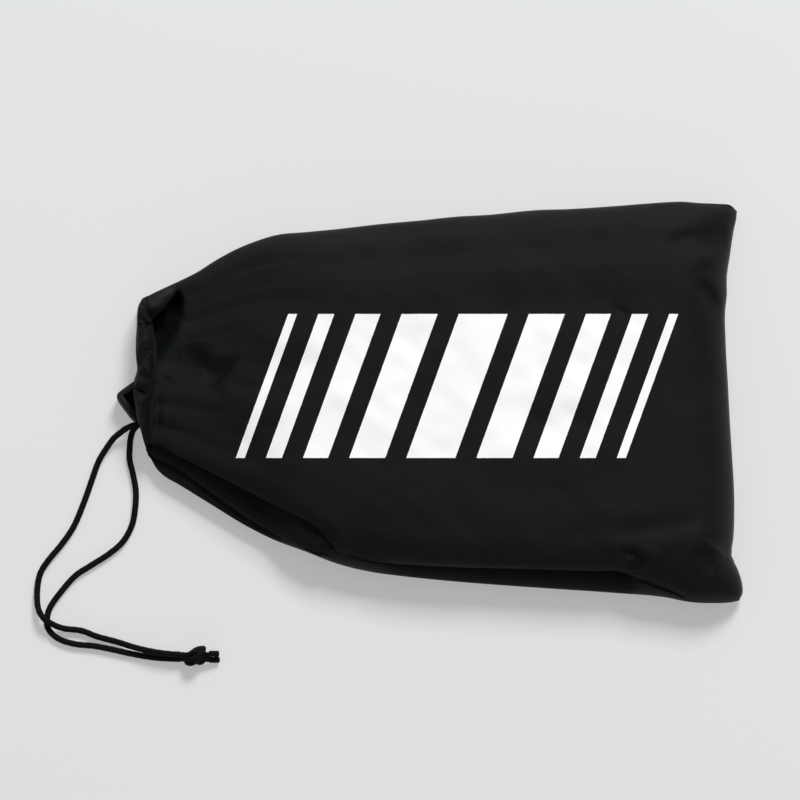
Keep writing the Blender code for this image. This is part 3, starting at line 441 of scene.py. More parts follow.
def cloth_material(name, color, pitch, roughness, sheen, relief, gloss, ribs=None):
    """Woven cloth: its threads, uneven dye and a soft sheen, with painted shade in the hollows between the
    threads and a painted sheen where the warp lies on top.
    """
    n = Nodes(name)
    u, v = n.split(n.uv())
    weave, over = plain_weave(n, u, v, pitch)
    dye = n.noise(n.place(), 14.0, 3.0)
    thread = n.noise(n.uv(), 0.9 / pitch, 1.0)
    height = weave
    if ribs:
        lines = (n.math("POWER", n.hump(place, math.pi / ribs, "COSINE"), RIB_SHARPNESS) for place in (u, v))
        height = n.times(n.math("MAXIMUM", *lines), 1.2, weave)
    # The colour is darker in the hollows between the threads: painted shade.
    painted_shade_sheen_and_dye = n.times(weave, 0.42, 0.62)
    # Where the warp lies on top the colour is lighter, a painted sheen; the thread and dye noise are the
    # cloth's own uneven colour.
    for uneven, gain, base in ((over, 1.0, 0.5), (thread, 0.8, 0.6), (dye, 0.36, 0.82)):
        painted_shade_sheen_and_dye = n.times(painted_shade_sheen_and_dye, n.times(uneven, gain, base))
    tint = n.node("ShaderNodeVectorMath", operation="SCALE")
    tint.inputs[0].default_value = color
    n.put(tint.inputs["Scale"], painted_shade_sheen_and_dye)
    n.set(Base_Color=tint.outputs[0], Roughness=n.times(weave, -0.10, roughness + 0.05))
    n.set(Specular_IOR_Level=gloss, Sheen_Weight=sheen, Sheen_Roughness=0.45, Sheen_Tint=(0.80, 0.90, 0.86))
    n.set(Normal=n.bump(height, relief))
    return n.material


def webbing_material(name, color, rib):
    n = Nodes(name)
    u, v = n.split(n.uv())
    lines = n.hump(u, math.pi / rib)
    stagger = n.times(n.math("FLOOR", n.math("DIVIDE", u, rib)), math.pi / 2)
    cross = n.math("ABSOLUTE", n.math("SINE", n.times(v, math.pi / (rib * 0.8), stagger)))
    height = n.times(lines, n.times(cross, 0.5, 0.5))
    thread = n.noise(n.uv(), 1400.0, 2.0)
    # The colour darkens towards low in the hollows between the ribs, a painted shade, and varies with the
    # thread noise.
    low = tuple(c * 0.55 for c in color)
    n.set(Base_Color=n.mix(n.times(height, n.times(thread, 0.6, 0.7)), low, color))
    n.set(Roughness=n.times(thread, 0.15, 0.62), Sheen_Weight=0.12, Sheen_Roughness=0.4)
    n.set(Normal=n.bump(height, 0.18 * MM))
    return n.material


def cord_material(name, pitch, grain, low, high, strength):
    """Crossed strands. The grain of their colour is given back too, for a roughness that follows it."""
    n = Nodes(name)
    u, v = n.split(n.uv())
    strand = n.noise(n.uv(), grain, 2.0)
    n.set(Base_Color=n.mix(strand, low, high), Normal=n.bump(n.crossed(u, v, pitch), 0.05 * MM, strength))
    return n, strand


def grained(name, scale, low, high, relief, **values):
    """A plain look with a fine grain in its colour and its surface."""
    n = Nodes(name)
    grain = n.noise(n.place(), scale, 2.0)
    n.set(Base_Color=n.mix(grain, low, high), Normal=n.bump(grain, relief), **values)
    return n.material


CLOTH_TINT = (0.0040, 0.0060, 0.0043)
# The tab is made of the bag's own cloth. Its lighter tint makes it a lit copy of that cloth, which is painted
# light; its sheen and gloss are also set higher.
TAB_LIT_TINT = (0.0090, 0.0122, 0.0092)
CANOPY_TINT = (0.020, 0.023, 0.026)
WEAVE = 0.68 * MM
WEAVE_RELIEF = 0.12 * MM


def make_materials():
    made = {
        "cloth": cloth_material("bag_cloth", CLOTH_TINT, WEAVE, 0.52, 0.004, WEAVE_RELIEF, 0.095),
        "tab_lit_cloth": cloth_material("tab_cloth_lit_copy", TAB_LIT_TINT, WEAVE, 0.52, 0.01, WEAVE_RELIEF, 0.12),
        "ripstop": cloth_material(
            "canopy_ripstop", CANOPY_TINT, 0.30 * MM, 0.55, 0.05, 0.05 * MM, 0.35, ribs=5 * MM
        ),
        "webbing": webbing_material("belt_webbing_weave", (0.022, 0.022, 0.024), 1.5 * MM),
        "elastic": webbing_material("elastic_ribs", (0.030, 0.030, 0.032), 1.0 * MM),
        "thread": grained(
            "sewing_thread", 2600.0, (0.0055, 0.006, 0.006), (0.012, 0.0125, 0.0125), 0.06 * MM,
            Roughness=0.6, Specular_IOR_Level=0.15,
        ),
        "mesh": grained(
            "mesh_knit", 900.0, (0.035, 0.036, 0.039), (0.065, 0.068, 0.072), 0.08 * MM,
            Roughness=0.7, Sheen_Weight=0.2,
        ),
    }

    n, strand = cord_material(
        "cord_braid", 0.42 * MM, 1900.0, (0.0016, 0.0023, 0.0016), (0.0040, 0.0052, 0.0039), 0.7
    )
    n.set(Roughness=n.times(strand, 0.16, 0.52), Specular_IOR_Level=0.075)
    made["cord"] = n.material

    n = cord_material(
        "suspension_line", 0.5 * MM, 1500.0, (0.022, 0.023, 0.024), (0.045, 0.046, 0.048), 1.0
    )[0]
    n.set(Roughness=0.6, Sheen_Weight=0.15)
    made["line"] = n.material

    n = Nodes("screen_print_ink")
    weave = plain_weave(n, *n.split(n.uv()), WEAVE)[0]
    wear = n.noise(n.uv(), 260.0, 4.0, 0.6)
    worn = n.math("GREATER_THAN", n.times(wear, n.math("SUBTRACT", 1.35, n.times(weave, 0.5))), 0.86)
    patch = n.noise(n.uv(), 60.0, 2.0)
    ink = n.mix(patch, (0.90, 0.905, 0.905), (0.96, 0.965, 0.965))
    n.set(Base_Color=n.mix(n.times(worn, 0.5), ink, (0.45, 0.46, 0.46)), Roughness=n.times(patch, 0.15, 0.5))
    n.set(Normal=n.bump(weave, 0.05 * MM, 0.6))
    made["ink"] = n.material

    n = Nodes("moulded_acetal")
    grain = n.noise(n.place(), 1300.0, 3.0, 0.6)
    broad = n.noise(n.place(), 45.0, 2.0)
    n.set(Base_Color=n.mix(broad, (0.0105, 0.0107, 0.011), (0.0145, 0.0148, 0.0152)))
    n.set(Roughness=n.times(grain, 0.22, 0.33), Normal=n.bump(grain, 0.03 * MM, 0.5))
    made["plastic"] = n.material

    n = Nodes("plated_wire")
    drawn = n.node("ShaderNodeMapping")
    n.put(drawn.inputs["Vector"], n.place())
    drawn.inputs["Scale"].default_value = (300.0, 300.0, 2600.0)
    scratch = n.noise(drawn.outputs[0], 1.0, 3.0)
    cloud = n.noise(n.place(), 160.0, 2.0)
    n.set(Base_Color=n.mix(cloud, (0.50, 0.51, 0.53), (0.64, 0.65, 0.66)), Metallic=1.0)
    n.set(Roughness=n.times(scratch, 0.22, 0.16), Normal=n.bump(scratch, 0.01 * MM, 0.4))
    made["steel"] = n.material
    return made


MATERIALS = make_materials()


def dress(obj, look):
    obj.data.materials.clear()
    obj.data.materials.append(MATERIALS[look])
    return obj


# Drawcord: the CAD cord's route end to end, nearer the photo's where it comes out of the mouth

CORD_DIAMETER = 3.5 * MM
LEG_A_ROUTE = (
    (-0.1634, -0.0109, 0.0099), (-0.1635, -0.0121, 0.0099), (-0.1652, -0.0122, 0.0097),
    (-0.1676, -0.0129, 0.0092), (-0.1703, -0.0140, 0.0082), (-0.1733, -0.0159, 0.0066),
    (-0.1771, -0.0188, 0.0048), (-0.1808, -0.0236, 0.0034), (-0.1856, -0.0317, 0.0026),
    (-0.1896, -0.0431, 0.0019), (-0.1935, -0.0546, 0.0019), (-0.1991, -0.0684, 0.0019),
    (-0.2058, -0.0787, 0.0019), (-0.2131, -0.0878, 0.0019), (-0.2176, -0.0953, 0.0019),
    (-0.2192, -0.1045, 0.0021), (-0.2187, -0.1147, 0.0038), (-0.2156, -0.1212, 0.0060),
    (-0.2105, -0.1248, 0.0056), (-0.2041, -0.1268, 0.0030), (-0.1943, -0.1279, 0.0020),
    (-0.1856, -0.1312, 0.0021), (-0.1744, -0.1344, 0.0030), (-0.1640, -0.1380, 0.0047),
    (-0.1543, -0.1404, 0.0058), (-0.1450, -0.1418, 0.0062), (-0.1386, -0.1421, 0.0063),
)
LEG_B_ROUTE = (
    (-0.1614, -0.0104, 0.0056), (-0.1635, -0.0114, 0.0056), (-0.1654, -0.0131, 0.0052),
    (-0.1668, -0.0154, 0.0042), (-0.1678, -0.0190, 0.0030), (-0.1682, -0.0238, 0.0022),
    (-0.1682, -0.0305, 0.0021), (-0.1662, -0.0391, 0.0019), (-0.1646, -0.0483, 0.0019),
    (-0.1649, -0.0587, 0.0019), (-0.1668, -0.0684, 0.0019), (-0.1718, -0.0775, 0.0019),
    (-0.1795, -0.0844, 0.0019), (-0.1896, -0.0910, 0.0019), (-0.1980, -0.0967, 0.0019),
    (-0.2058, -0.1056, 0.0019), (-0.2120, -0.1147, 0.0019), (-0.2136, -0.1218, 0.0019),
    (-0.2125, -0.1274, 0.0019), (-0.2069, -0.1325, 0.0019), (-0.1980, -0.1354, 0.0019),
    (-0.1868, -0.1366, 0.0019), (-0.1767, -0.1386, 0.0019), (-0.1660, -0.1410, 0.0019),
    (-0.1543, -0.1430, 0.0019), (-0.1450, -0.1437, 0.0020), (-0.1386, -0.1439, 0.0021),
)
TAIL_A_ROUTE = (
    (-0.1229, -0.1446, 0.0036), (-0.1205, -0.1445, 0.0027), (-0.1172, -0.1443, 0.0020),
)
TAIL_B_ROUTE = (
    (-0.1229, -0.1416, 0.0063), (-0.1205, -0.1416, 0.0058), (-0.1174, -0.1416, 0.0054),
)
KNOT_PLACE = np.array([-0.1306, -0.1430, 0.0056])


KNOT_TURNS = [
    (-4.6, -0.4, 0.2), (-0.6, 0.6, 2.0), (3.2, 2.4, 1.6), (4.4, 3.6, -1.2), (1.2, 3.4, -3.0),
    (-2.6, 1.0, -3.0), (-4.8, -1.8, -0.6), (-2.6, -3.4, 2.4), (0.8, -2.0, 3.4), (3.0, 0.8, 2.6),
    (3.4, 1.6, -0.6), (1.4, -1.4, -2.4), (3.6, -1.8, -1.0),
]


def knot_route(start, stop, shift):
    """An overhand knot's path, in millimetres from the knot's middle, between its two ends."""
    middle = KNOT_PLACE + np.array(KNOT_TURNS) * MM + np.array(shift) * MM
    return np.concatenate([[start], middle, [stop]])


CORD_STEP = 0.34 * MM
KNOT_STRAND, KNOT_SIDES = 0.93, 18
leg_a_line = smooth_route(LEG_A_ROUTE, CORD_STEP)
leg_b_line = smooth_route(LEG_B_ROUTE, CORD_STEP)


def make_knot():
    """The knot's two strands, side by side through the same turns, as one piece."""
    lines = (
        knot_route(leg_a_line[-1], TAIL_A_ROUTE[0], (0.0, 0.9, 0.7)),
        knot_route(leg_b_line[-1], TAIL_B_ROUTE[0], (0.0, -0.9, -0.7)),
    )
    strand = CORD_DIAMETER * KNOT_STRAND
    pieces = [braided("knot_strand", smooth_route(line, CORD_STEP), strand, KNOT_SIDES) for line in lines]
    return join("cord_knot", pieces)


def cord_piece(piece, node):
    return stay(dress(piece, "cord"), "bag", "black_cord", node)


def line_length(points):
    return float(np.linalg.norm(np.diff(points, axis=0), axis=1).sum())


leg_a = cord_piece(braided("cord_leg_a", leg_a_line, CORD_DIAMETER), "drawcord_leg_a")
leg_b = cord_piece(braided("cord_leg_b", leg_b_line, CORD_DIAMETER), "drawcord_leg_b")
tail_a = cord_piece(
    braided("cord_tail_a", smooth_route(TAIL_A_ROUTE, CORD_STEP), CORD_DIAMETER), "drawcord_tail_a"
)
tail_b = cord_piece(
    braided("cord_tail_b", smooth_route(TAIL_B_ROUTE, CORD_STEP), CORD_DIAMETER), "drawcord_tail_b"
)
knot = cord_piece(make_knot(), "drawcord_knot")


# Bag: its outline and folds, as pixels of the view

TOP_EDGE_PX = [
    (147, 296.3), (160, 290.0), (174, 283.5), (198, 271.6), (215, 260.7), (237, 248.8), (259, 240.0),
    (276, 235.0), (306, 232.0), (337, 229.0), (380, 224.0), (420, 220.4), (460, 216.3), (485, 215.0),
    (541, 209.8), (561, 209.3), (615, 206.0), (648, 203.4), (665, 202.2), (682, 201.6), (700, 203.0),
    (718, 203.9), (731, 205.6), (736.6, 211.0),
]
RIGHT_EDGE_PX = [
    (736.6, 211.0), (736.4, 218), (734, 229), (730, 255), (726.8, 277), (726.8, 296), (725.3, 308),
    (725.7, 342), (728, 385), (731, 439), (732, 454), (734.4, 508), (733.3, 539), (731.4, 555),
    (737.6, 569), (742.2, 584), (742.6, 593), (739.0, 600.6),
]
BOTTOM_EDGE_PX = [
    (150.5, 458), (156.5, 468.5), (165.5, 477), (176, 483), (207, 502), (250, 528), (272, 539),
    (306.5, 552), (337, 563.7), (369, 571.6), (402, 576.2), (420, 578.2), (460, 582), (485, 584),
    (550, 588.6), (615, 593), (669, 598), (686.7, 601.6), (712.7, 603.2), (734, 601.8), (739.0, 600.6),
]
MOUTH_EDGE_PX = [
    (141.7, 298.7), (139, 304), (137, 326), (136, 341), (136, 356), (137.2, 371), (133.4, 385),
    (133.8, 398), (135.3, 407), (137.5, 420.5), (141, 432), (145, 446), (149.0, 456),
]
CASING_SEAM_PX = [
    (147, 296.3), (146.4, 306.7), (150.5, 323), (153.4, 349), (152.7, 375.6), (149.5, 392), (146, 416.7),
    (147.8, 436), (150.5, 458),
]

# Along the near edge, for a pixel column: how far in the front cloth's hanging edge and the lower pleat
# are, and how much of each there is
FOLD_IN_PX = [
    (150, 13.0), (156.5, 24.0), (178, 29.0), (207, 33.0), (250, 37.0), (293, 34.5), (312, 30.5),
    (322, 26.0), (329, 17.5), (345, 13.5), (391, 12.0), (420, 13.0), (463, 15.0), (528, 18.3),
    (593, 20.6), (622, 21.4), (632, 18.0), (650, 11.5), (670, 6.5), (686, 2.5), (700, 1.0), (742, 0.5),
]
FOLD_SHARE = [
    (150, 1.0), (300, 1.0), (318, 0.85), (331, 0.25), (345, 0.12), (375, 0.15), (393, 0.75), (420, 1.0),
    (615, 1.0), (626, 0.8), (640, 0.0), (742, 0.0),
]
PLEAT_IN_PX = [
    (150, 4.0), (157, 10.5), (187, 15.0), (211, 11.5), (250, 8.0), (278, 6.0), (292, 4.0), (310, 2.6),
    (391, 2.6), (463, 7.0), (593, 9.0), (650, 6.0), (742, 1.0),
]
PLEAT_SHARE = [(150, 1.0), (322, 1.0), (340, 0.0), (742, 0.0)]

COLUMNS = 330
CROWDING = 0.20
TOP_ROWS = 190
CURL_ROWS = 7
LAYER_ROWS = 11
TUCK_ROWS = 6
WALL_ROWS = 9
UNDER_ROWS = 9
BOTTOM_ROWS = 40
OUTER_COLUMNS = 18
RETURN_COLUMNS = 14
END_ROUND = 26 * MM
FAR_ROUND = 50 * MM
NEAR_ROUND = 42 * MM
FLOOR_ROUND = 12 * MM
BODY_HEIGHT = 35.4 * MM
INSIDE_BAG = np.array([0.03, 0.0, 0.017])
MOUTH_HEIGHT = 24.0 * MM
NECK_LENGTH_PX = 175.0
FAR_Z = 13.0 * MM
OUTLINE_Z = 8.0 * MM

# How the fold and the pleat hang, along the near edge, and the seam's height along the closed end.
# Drops and heights are in millimetres
CURL_IN_PX = 5.0
CURL_DROP = [
    (150, 3.0), (235, 4.2), (268, 5.2), (284, 3.0), (300, 1.2), (330, 1.2), (391, 3.5), (463, 4.6),
    (622, 5.0), (742, 3.0),
]
TUCK_IN_PX = [(150, 4.0), (240, 3.0), (280, 2.4), (296, 0.4), (742, 0.4)]
TUCK_DROP = [(150, 2.4), (190, 1.5), (240, 0.8), (285, 0.7), (296, 0.1), (742, 0.1)]
FOLD_Z = [
    (150, 15.5), (178, 17.5), (250, 20.5), (275, 21.5), (298, 24.0), (322, 24.0), (345, 21.5),
    (391, 20.0), (463, 20.5), (622, 21.0), (742, 12.0),
]
PLEAT_Z = [(150, 10.5), (187, 11.0), (250, 10.5), (272, 12.5), (294, 17.5), (322, 18.0), (742, 9.5)]
END_Z = [(0.0, 5.0), (0.08, 7.0), (0.25, 9.5), (0.5, 10.5), (0.78, 10.0), (0.93, 7.5), (1.0, 5.5)]
CLOTH = 0.38 * MM

MOUTH_CENTRE_Y = 15.0 * MM
MOUTH_CENTRE_Z = 12.5 * MM
MOUTH_HALF_WIDTH = 48.0 * MM
MOUTH_HALF_HEIGHT = 13.0 * MM
CHANNEL_TAPER = 15 * MM
CHANNEL_WIDTH_MM = 9.5
CHANNEL_RIDGE = -2.1
CORD_DEPTH = 3.1 * MM

# The hem channel's section: share of its width out from its seam, and height off the cloth
CHANNEL_OUTER = [
    (0.0, -0.9), (0.05, -0.5), (0.15, 0.15), (0.35, 0.65), (0.6, 0.6), (0.8, -0.1), (0.93, -1.3),
    (1.0, -2.8),
]
CHANNEL_INNER = [
    (1.0, -2.8), (0.95, -4.2), (0.8, -5.3), (0.5, -5.4), (0.25, -4.1), (0.08, -2.2), (-0.02, -1.7),
    (-0.14, -1.6),
]

# Folds: a line or a single place, the depth in millimetres, and the rest of what groove or dent takes.
# First the pit under the rolled fold at the neck's far corner, and the valley that runs on from it
PIT_FOLDS = [
    (
        [(180, 288.5), (175, 300), (168.5, 309.5), (160, 317.5), (150, 325.5), (128, 343)], 14.5,
        (2.0, 36.0), 2.6, (0.2, 0.2), 3.2,
    ),
    ((158, 332), 3.0, 9.0, 70, 1.3),
    ([(157, 355), (170, 364), (185, 375.5), (198, 385)], 2.4, 15.0, 6.0, (0.3, 0.3)),
    ((197, 364), 4.6, 15.0, 40, 1.7),
]
FRONT_FOLDS = [
    # The rolled fold itself
    ([(145, 311), (156, 306.5), (165, 299), (175, 287)], -4.8, 6.0, 6.5, (0.25, 0.25)),
    # The crease that closes the valley, and the soft ones past it
    (
        [(198, 386), (208, 384.5), (216, 380), (226, 371), (234, 360.5), (241, 350)], 2.8,
        (12.0, 8.0), 2.6, (0.4, 0.5),
    ),
    ([(212, 392), (226, 384), (240, 371), (251, 354)], -1.0, 8.0, 12.0, (0.3, 0.4)),
    ((240, 340), 0.9, 16.0, 10, 1.6),
    ((280, 356), 1.1, 15.0, 14, 2.2),
    ((300, 300), -0.8, 40.0, -10, 2.0),
    # Closed end, far corner
    ([(696, 279), (707, 290), (716, 304), (723, 319)], 3.2, 6.0, 9.5, (0.35, 0.3)),
    ([(664, 241), (688, 238), (710, 235), (730, 231)], 3.8, (6.5, 11.0), (12.0, 16.0), (0.3, 0.15)),
    ((700, 258), -1.0, 17.0, 20, 1.4),
    ([(608, 303), (621, 311), (634, 317)], 1.3, 3.4, 7.0, (0.4, 0.4)),
    # Closed end, near corner
    ([(618, 549), (632, 553), (642, 557), (636, 567), (630, 574)], 2.3, 3.6, 5.5, (0.3, 0.15)),
    ([(634, 546), (650, 553), (662, 566)], -1.2, 7.0, 7.0, (0.4, 0.4)),
    ([(703, 538), (714, 548), (727, 558)], -2.0, 2.6, 3.4, (0.3, 0.3)),
    ([(694, 547), (706, 559), (716, 576)], 2.0, 5.0, 10.0, (0.35, 0.4)),
    ((727, 548), 2.2, 5.0, 60, 1.5),
    ([(606, 535), (640, 530), (672, 527), (712, 513)], 2.2, 14.0, 8.0, (0.3, 0.3)),
    ([(560, 540), (610, 545), (650, 541)], -0.8, 12.0, 12.0, (0.4, 0.4)),
    ([(668, 574), (690, 583), (712, 590)], 0.9, 6.0, 8.0, (0.4, 0.4)),
    # The seam that runs from the long fold's end down to the corner
    ([(631, 575), (648, 582), (668, 589), (690, 599)], 1.1, 2.4, 4.5, (0.1, 0.2)),
    # Near side, where the pleats run out
    ([(318, 521), (327, 531), (331, 545), (329, 556)], 2.0, 5.0, 8.0, (0.35, 0.3)),
    ([(336, 530), (342, 543), (343, 557)], -1.0, 7.0, 7.0, (0.4, 0.3)),
    ((356, 548), 0.8, 16.0, 10, 1.6),
    # Neck: soft gathers that run out of the casing's seam
    ([(153, 400), (166, 404), (196, 408)], 0.9, 6.0, 5.0, (0.15, 0.6)),
    ([(150, 424), (166, 428), (200, 436)], 1.0, 5.0, 6.0, (0.15, 0.6)),
    ([(154, 372), (168, 380), (188, 392)], 0.8, 5.0, 5.0, (0.15, 0.6)),
    ([(152, 412), (168, 416), (190, 421)], -0.5, 5.0, 5.0, (0.15, 0.6)),
    ([(157, 390), (158.5, 412), (156, 437)], 1.0, 3.2, 4.5, (0.3, 0.3)),
    ([(166, 392), (169, 414), (167, 436)], -0.4, 6.0, 8.0, (0.3, 0.3)),
    ([(150, 393), (151, 412), (152, 440)], -0.5, 3.5, 3.5, (0.3, 0.3)),
]
# The sharp little folds on the channel
CHANNEL_FOLDS = [
    ([(138, 366), (140.5, 357), (146, 350), (154, 349)], 2.0, 1.6, 2.2, (0.1, 0.05)),
    ([(137, 348), (143, 343), (152, 341)], -1.6, 3.4, 3.0, (0.15, 0.1)),
    ([(143, 372), (146, 362), (149, 358), (148, 380)], -2.2, 3.2, 3.2, (0.15, 0.15)),
    ([(131, 385), (136, 388), (141, 391.5), (148, 395)], 2.0, 1.6, 2.6, (0.05, 0.2)),
    ([(132, 379), (140, 382.5), (148, 388)], -1.8, 3.4, 3.0, (0.1, 0.2)),
    ([(134, 399), (140, 404), (144, 418), (146, 434)], -1.5, 3.6, 4.0, (0.1, 0.2)),
    ([(138, 314), (143, 320), (151, 326)], 1.5, 1.6, 3.4, (0.1, 0.1)),
    ([(137, 334), (143, 333), (149, 334)], -0.8, 5.0, 5.0, (0.1, 0.1)),
    ([(140, 303), (145, 306), (147, 312)], 0.9, 1.4, 2.4, (0.1, 0.1)),
]


def bag_plan(columns):
    """Pixels of the near and far edges, one pair for each column from the casing's seam to the closed end."""
    # Columns lie closer together at the closed end, and closest at the neck
    t = np.linspace(0, 1, columns)
    t = t - CROWDING * np.sin(2 * math.pi * t) / (2 * math.pi) - CROWDING * np.sin(math.pi * t) / math.pi
    far = along(TOP_EDGE_PX, t)
    near = along(BOTTOM_EDGE_PX, t)
    return near, far, t


def quarter(t):
    """A quarter round's height, from 0 at t 0 to 1 at t 1."""
    left = 1 - np.clip(t, 0, 1)
    return np.sqrt(np.maximum(1 - left * left, 0))


def distance_to_line(px, py, line):
    """Distance from pixels to a polyline, the share along it, and the side, 1 on its left."""
    line = np.asarray(line, float)
    best = np.full(px.shape, 1e9)
    share = np.zeros(px.shape)
    side = np.ones(px.shape)
    lengths = np.linalg.norm(np.diff(line, axis=0), axis=1)
    reach = np.concatenate([[0], np.cumsum(lengths)]) / lengths.sum()
    for k in range(len(line) - 1):
        a, b = line[k], line[k + 1]
        d = b - a
        t = np.clip(((px - a[0]) * d[0] + (py - a[1]) * d[1]) / (d @ d), 0, 1)
        gap = np.hypot(px - a[0] - t * d[0], py - a[1] - t * d[1])
        cross = d[0] * (py - a[1]) - d[1] * (px - a[0])
        near = gap < best
        best = np.where(near, gap, best)
        share = np.where(near, lerp(reach[k], reach[k + 1], t), share)
        side = np.where(near, np.where(cross > 0, -1.0, 1.0), side)
    return best, share, side


def groove(px, py, line, depth, left, right=None, ends=(0.2, 0.2), power=2.0):
    """A fold along a polyline: negative depth is a ridge. left and right are its widths on each side, and
    a pair goes from the first at its start to the second at its end. ends are the shares of the line over
    which it fades out. A higher power gives it a flatter floor."""
    right = left if right is None else right
    gap, share, side = distance_to_line(px, py, line)
    wide = [lerp(*width, share) if isinstance(width, tuple) else width for width in (left, right)]
    width = np.where(side > 0, *wide)
    fade = smooth(share / max(ends[0], 1e-6)) * smooth((1 - share) / max(ends[1], 1e-6))
    return -depth * fade * np.exp(-((gap / width) ** power))


def dent(px, py, centre, depth, reach, angle=0.0, long=1.0):
    """A soft hollow round a pixel, long along an angle in degrees."""
    c, s = math.cos(math.radians(angle)), math.sin(math.radians(angle))
    a = ((px - centre[0]) * c + (py - centre[1]) * s) / (reach * long)
    b = (-(px - centre[0]) * s + (py - centre[1]) * c) / reach
    return -depth * np.exp(-(a * a + b * b))


def add_folds(z, px, py, folds, unit):
    """Add folds to heights: a row with a line is a groove, and one with a single place is a dent."""
    for place, depth, *shape in folds:
        z = z + (groove if isinstance(place, list) else dent)(px, py, place, depth * unit, *shape)
    return z


def front_folds(px, py):
    """Height that folds, hollows and gathers add to the front cloth."""
    z = np.zeros(px.shape)
    # The pit stops short of the channel
    pit = add_folds(z, px, py, PIT_FOLDS, MM)
    z = z + pit * smooth((px - table([(y, x) for x, y in CASING_SEAM_PX], py) + 1.0) / 4.5)
    z = add_folds(z, px, py, FRONT_FOLDS, MM)
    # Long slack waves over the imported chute
    z += 0.55 * MM * waves(px, py * 1.5, 60.0, 3)
    z += 0.16 * MM * waves(px, py, 17.0, 5)
    return z


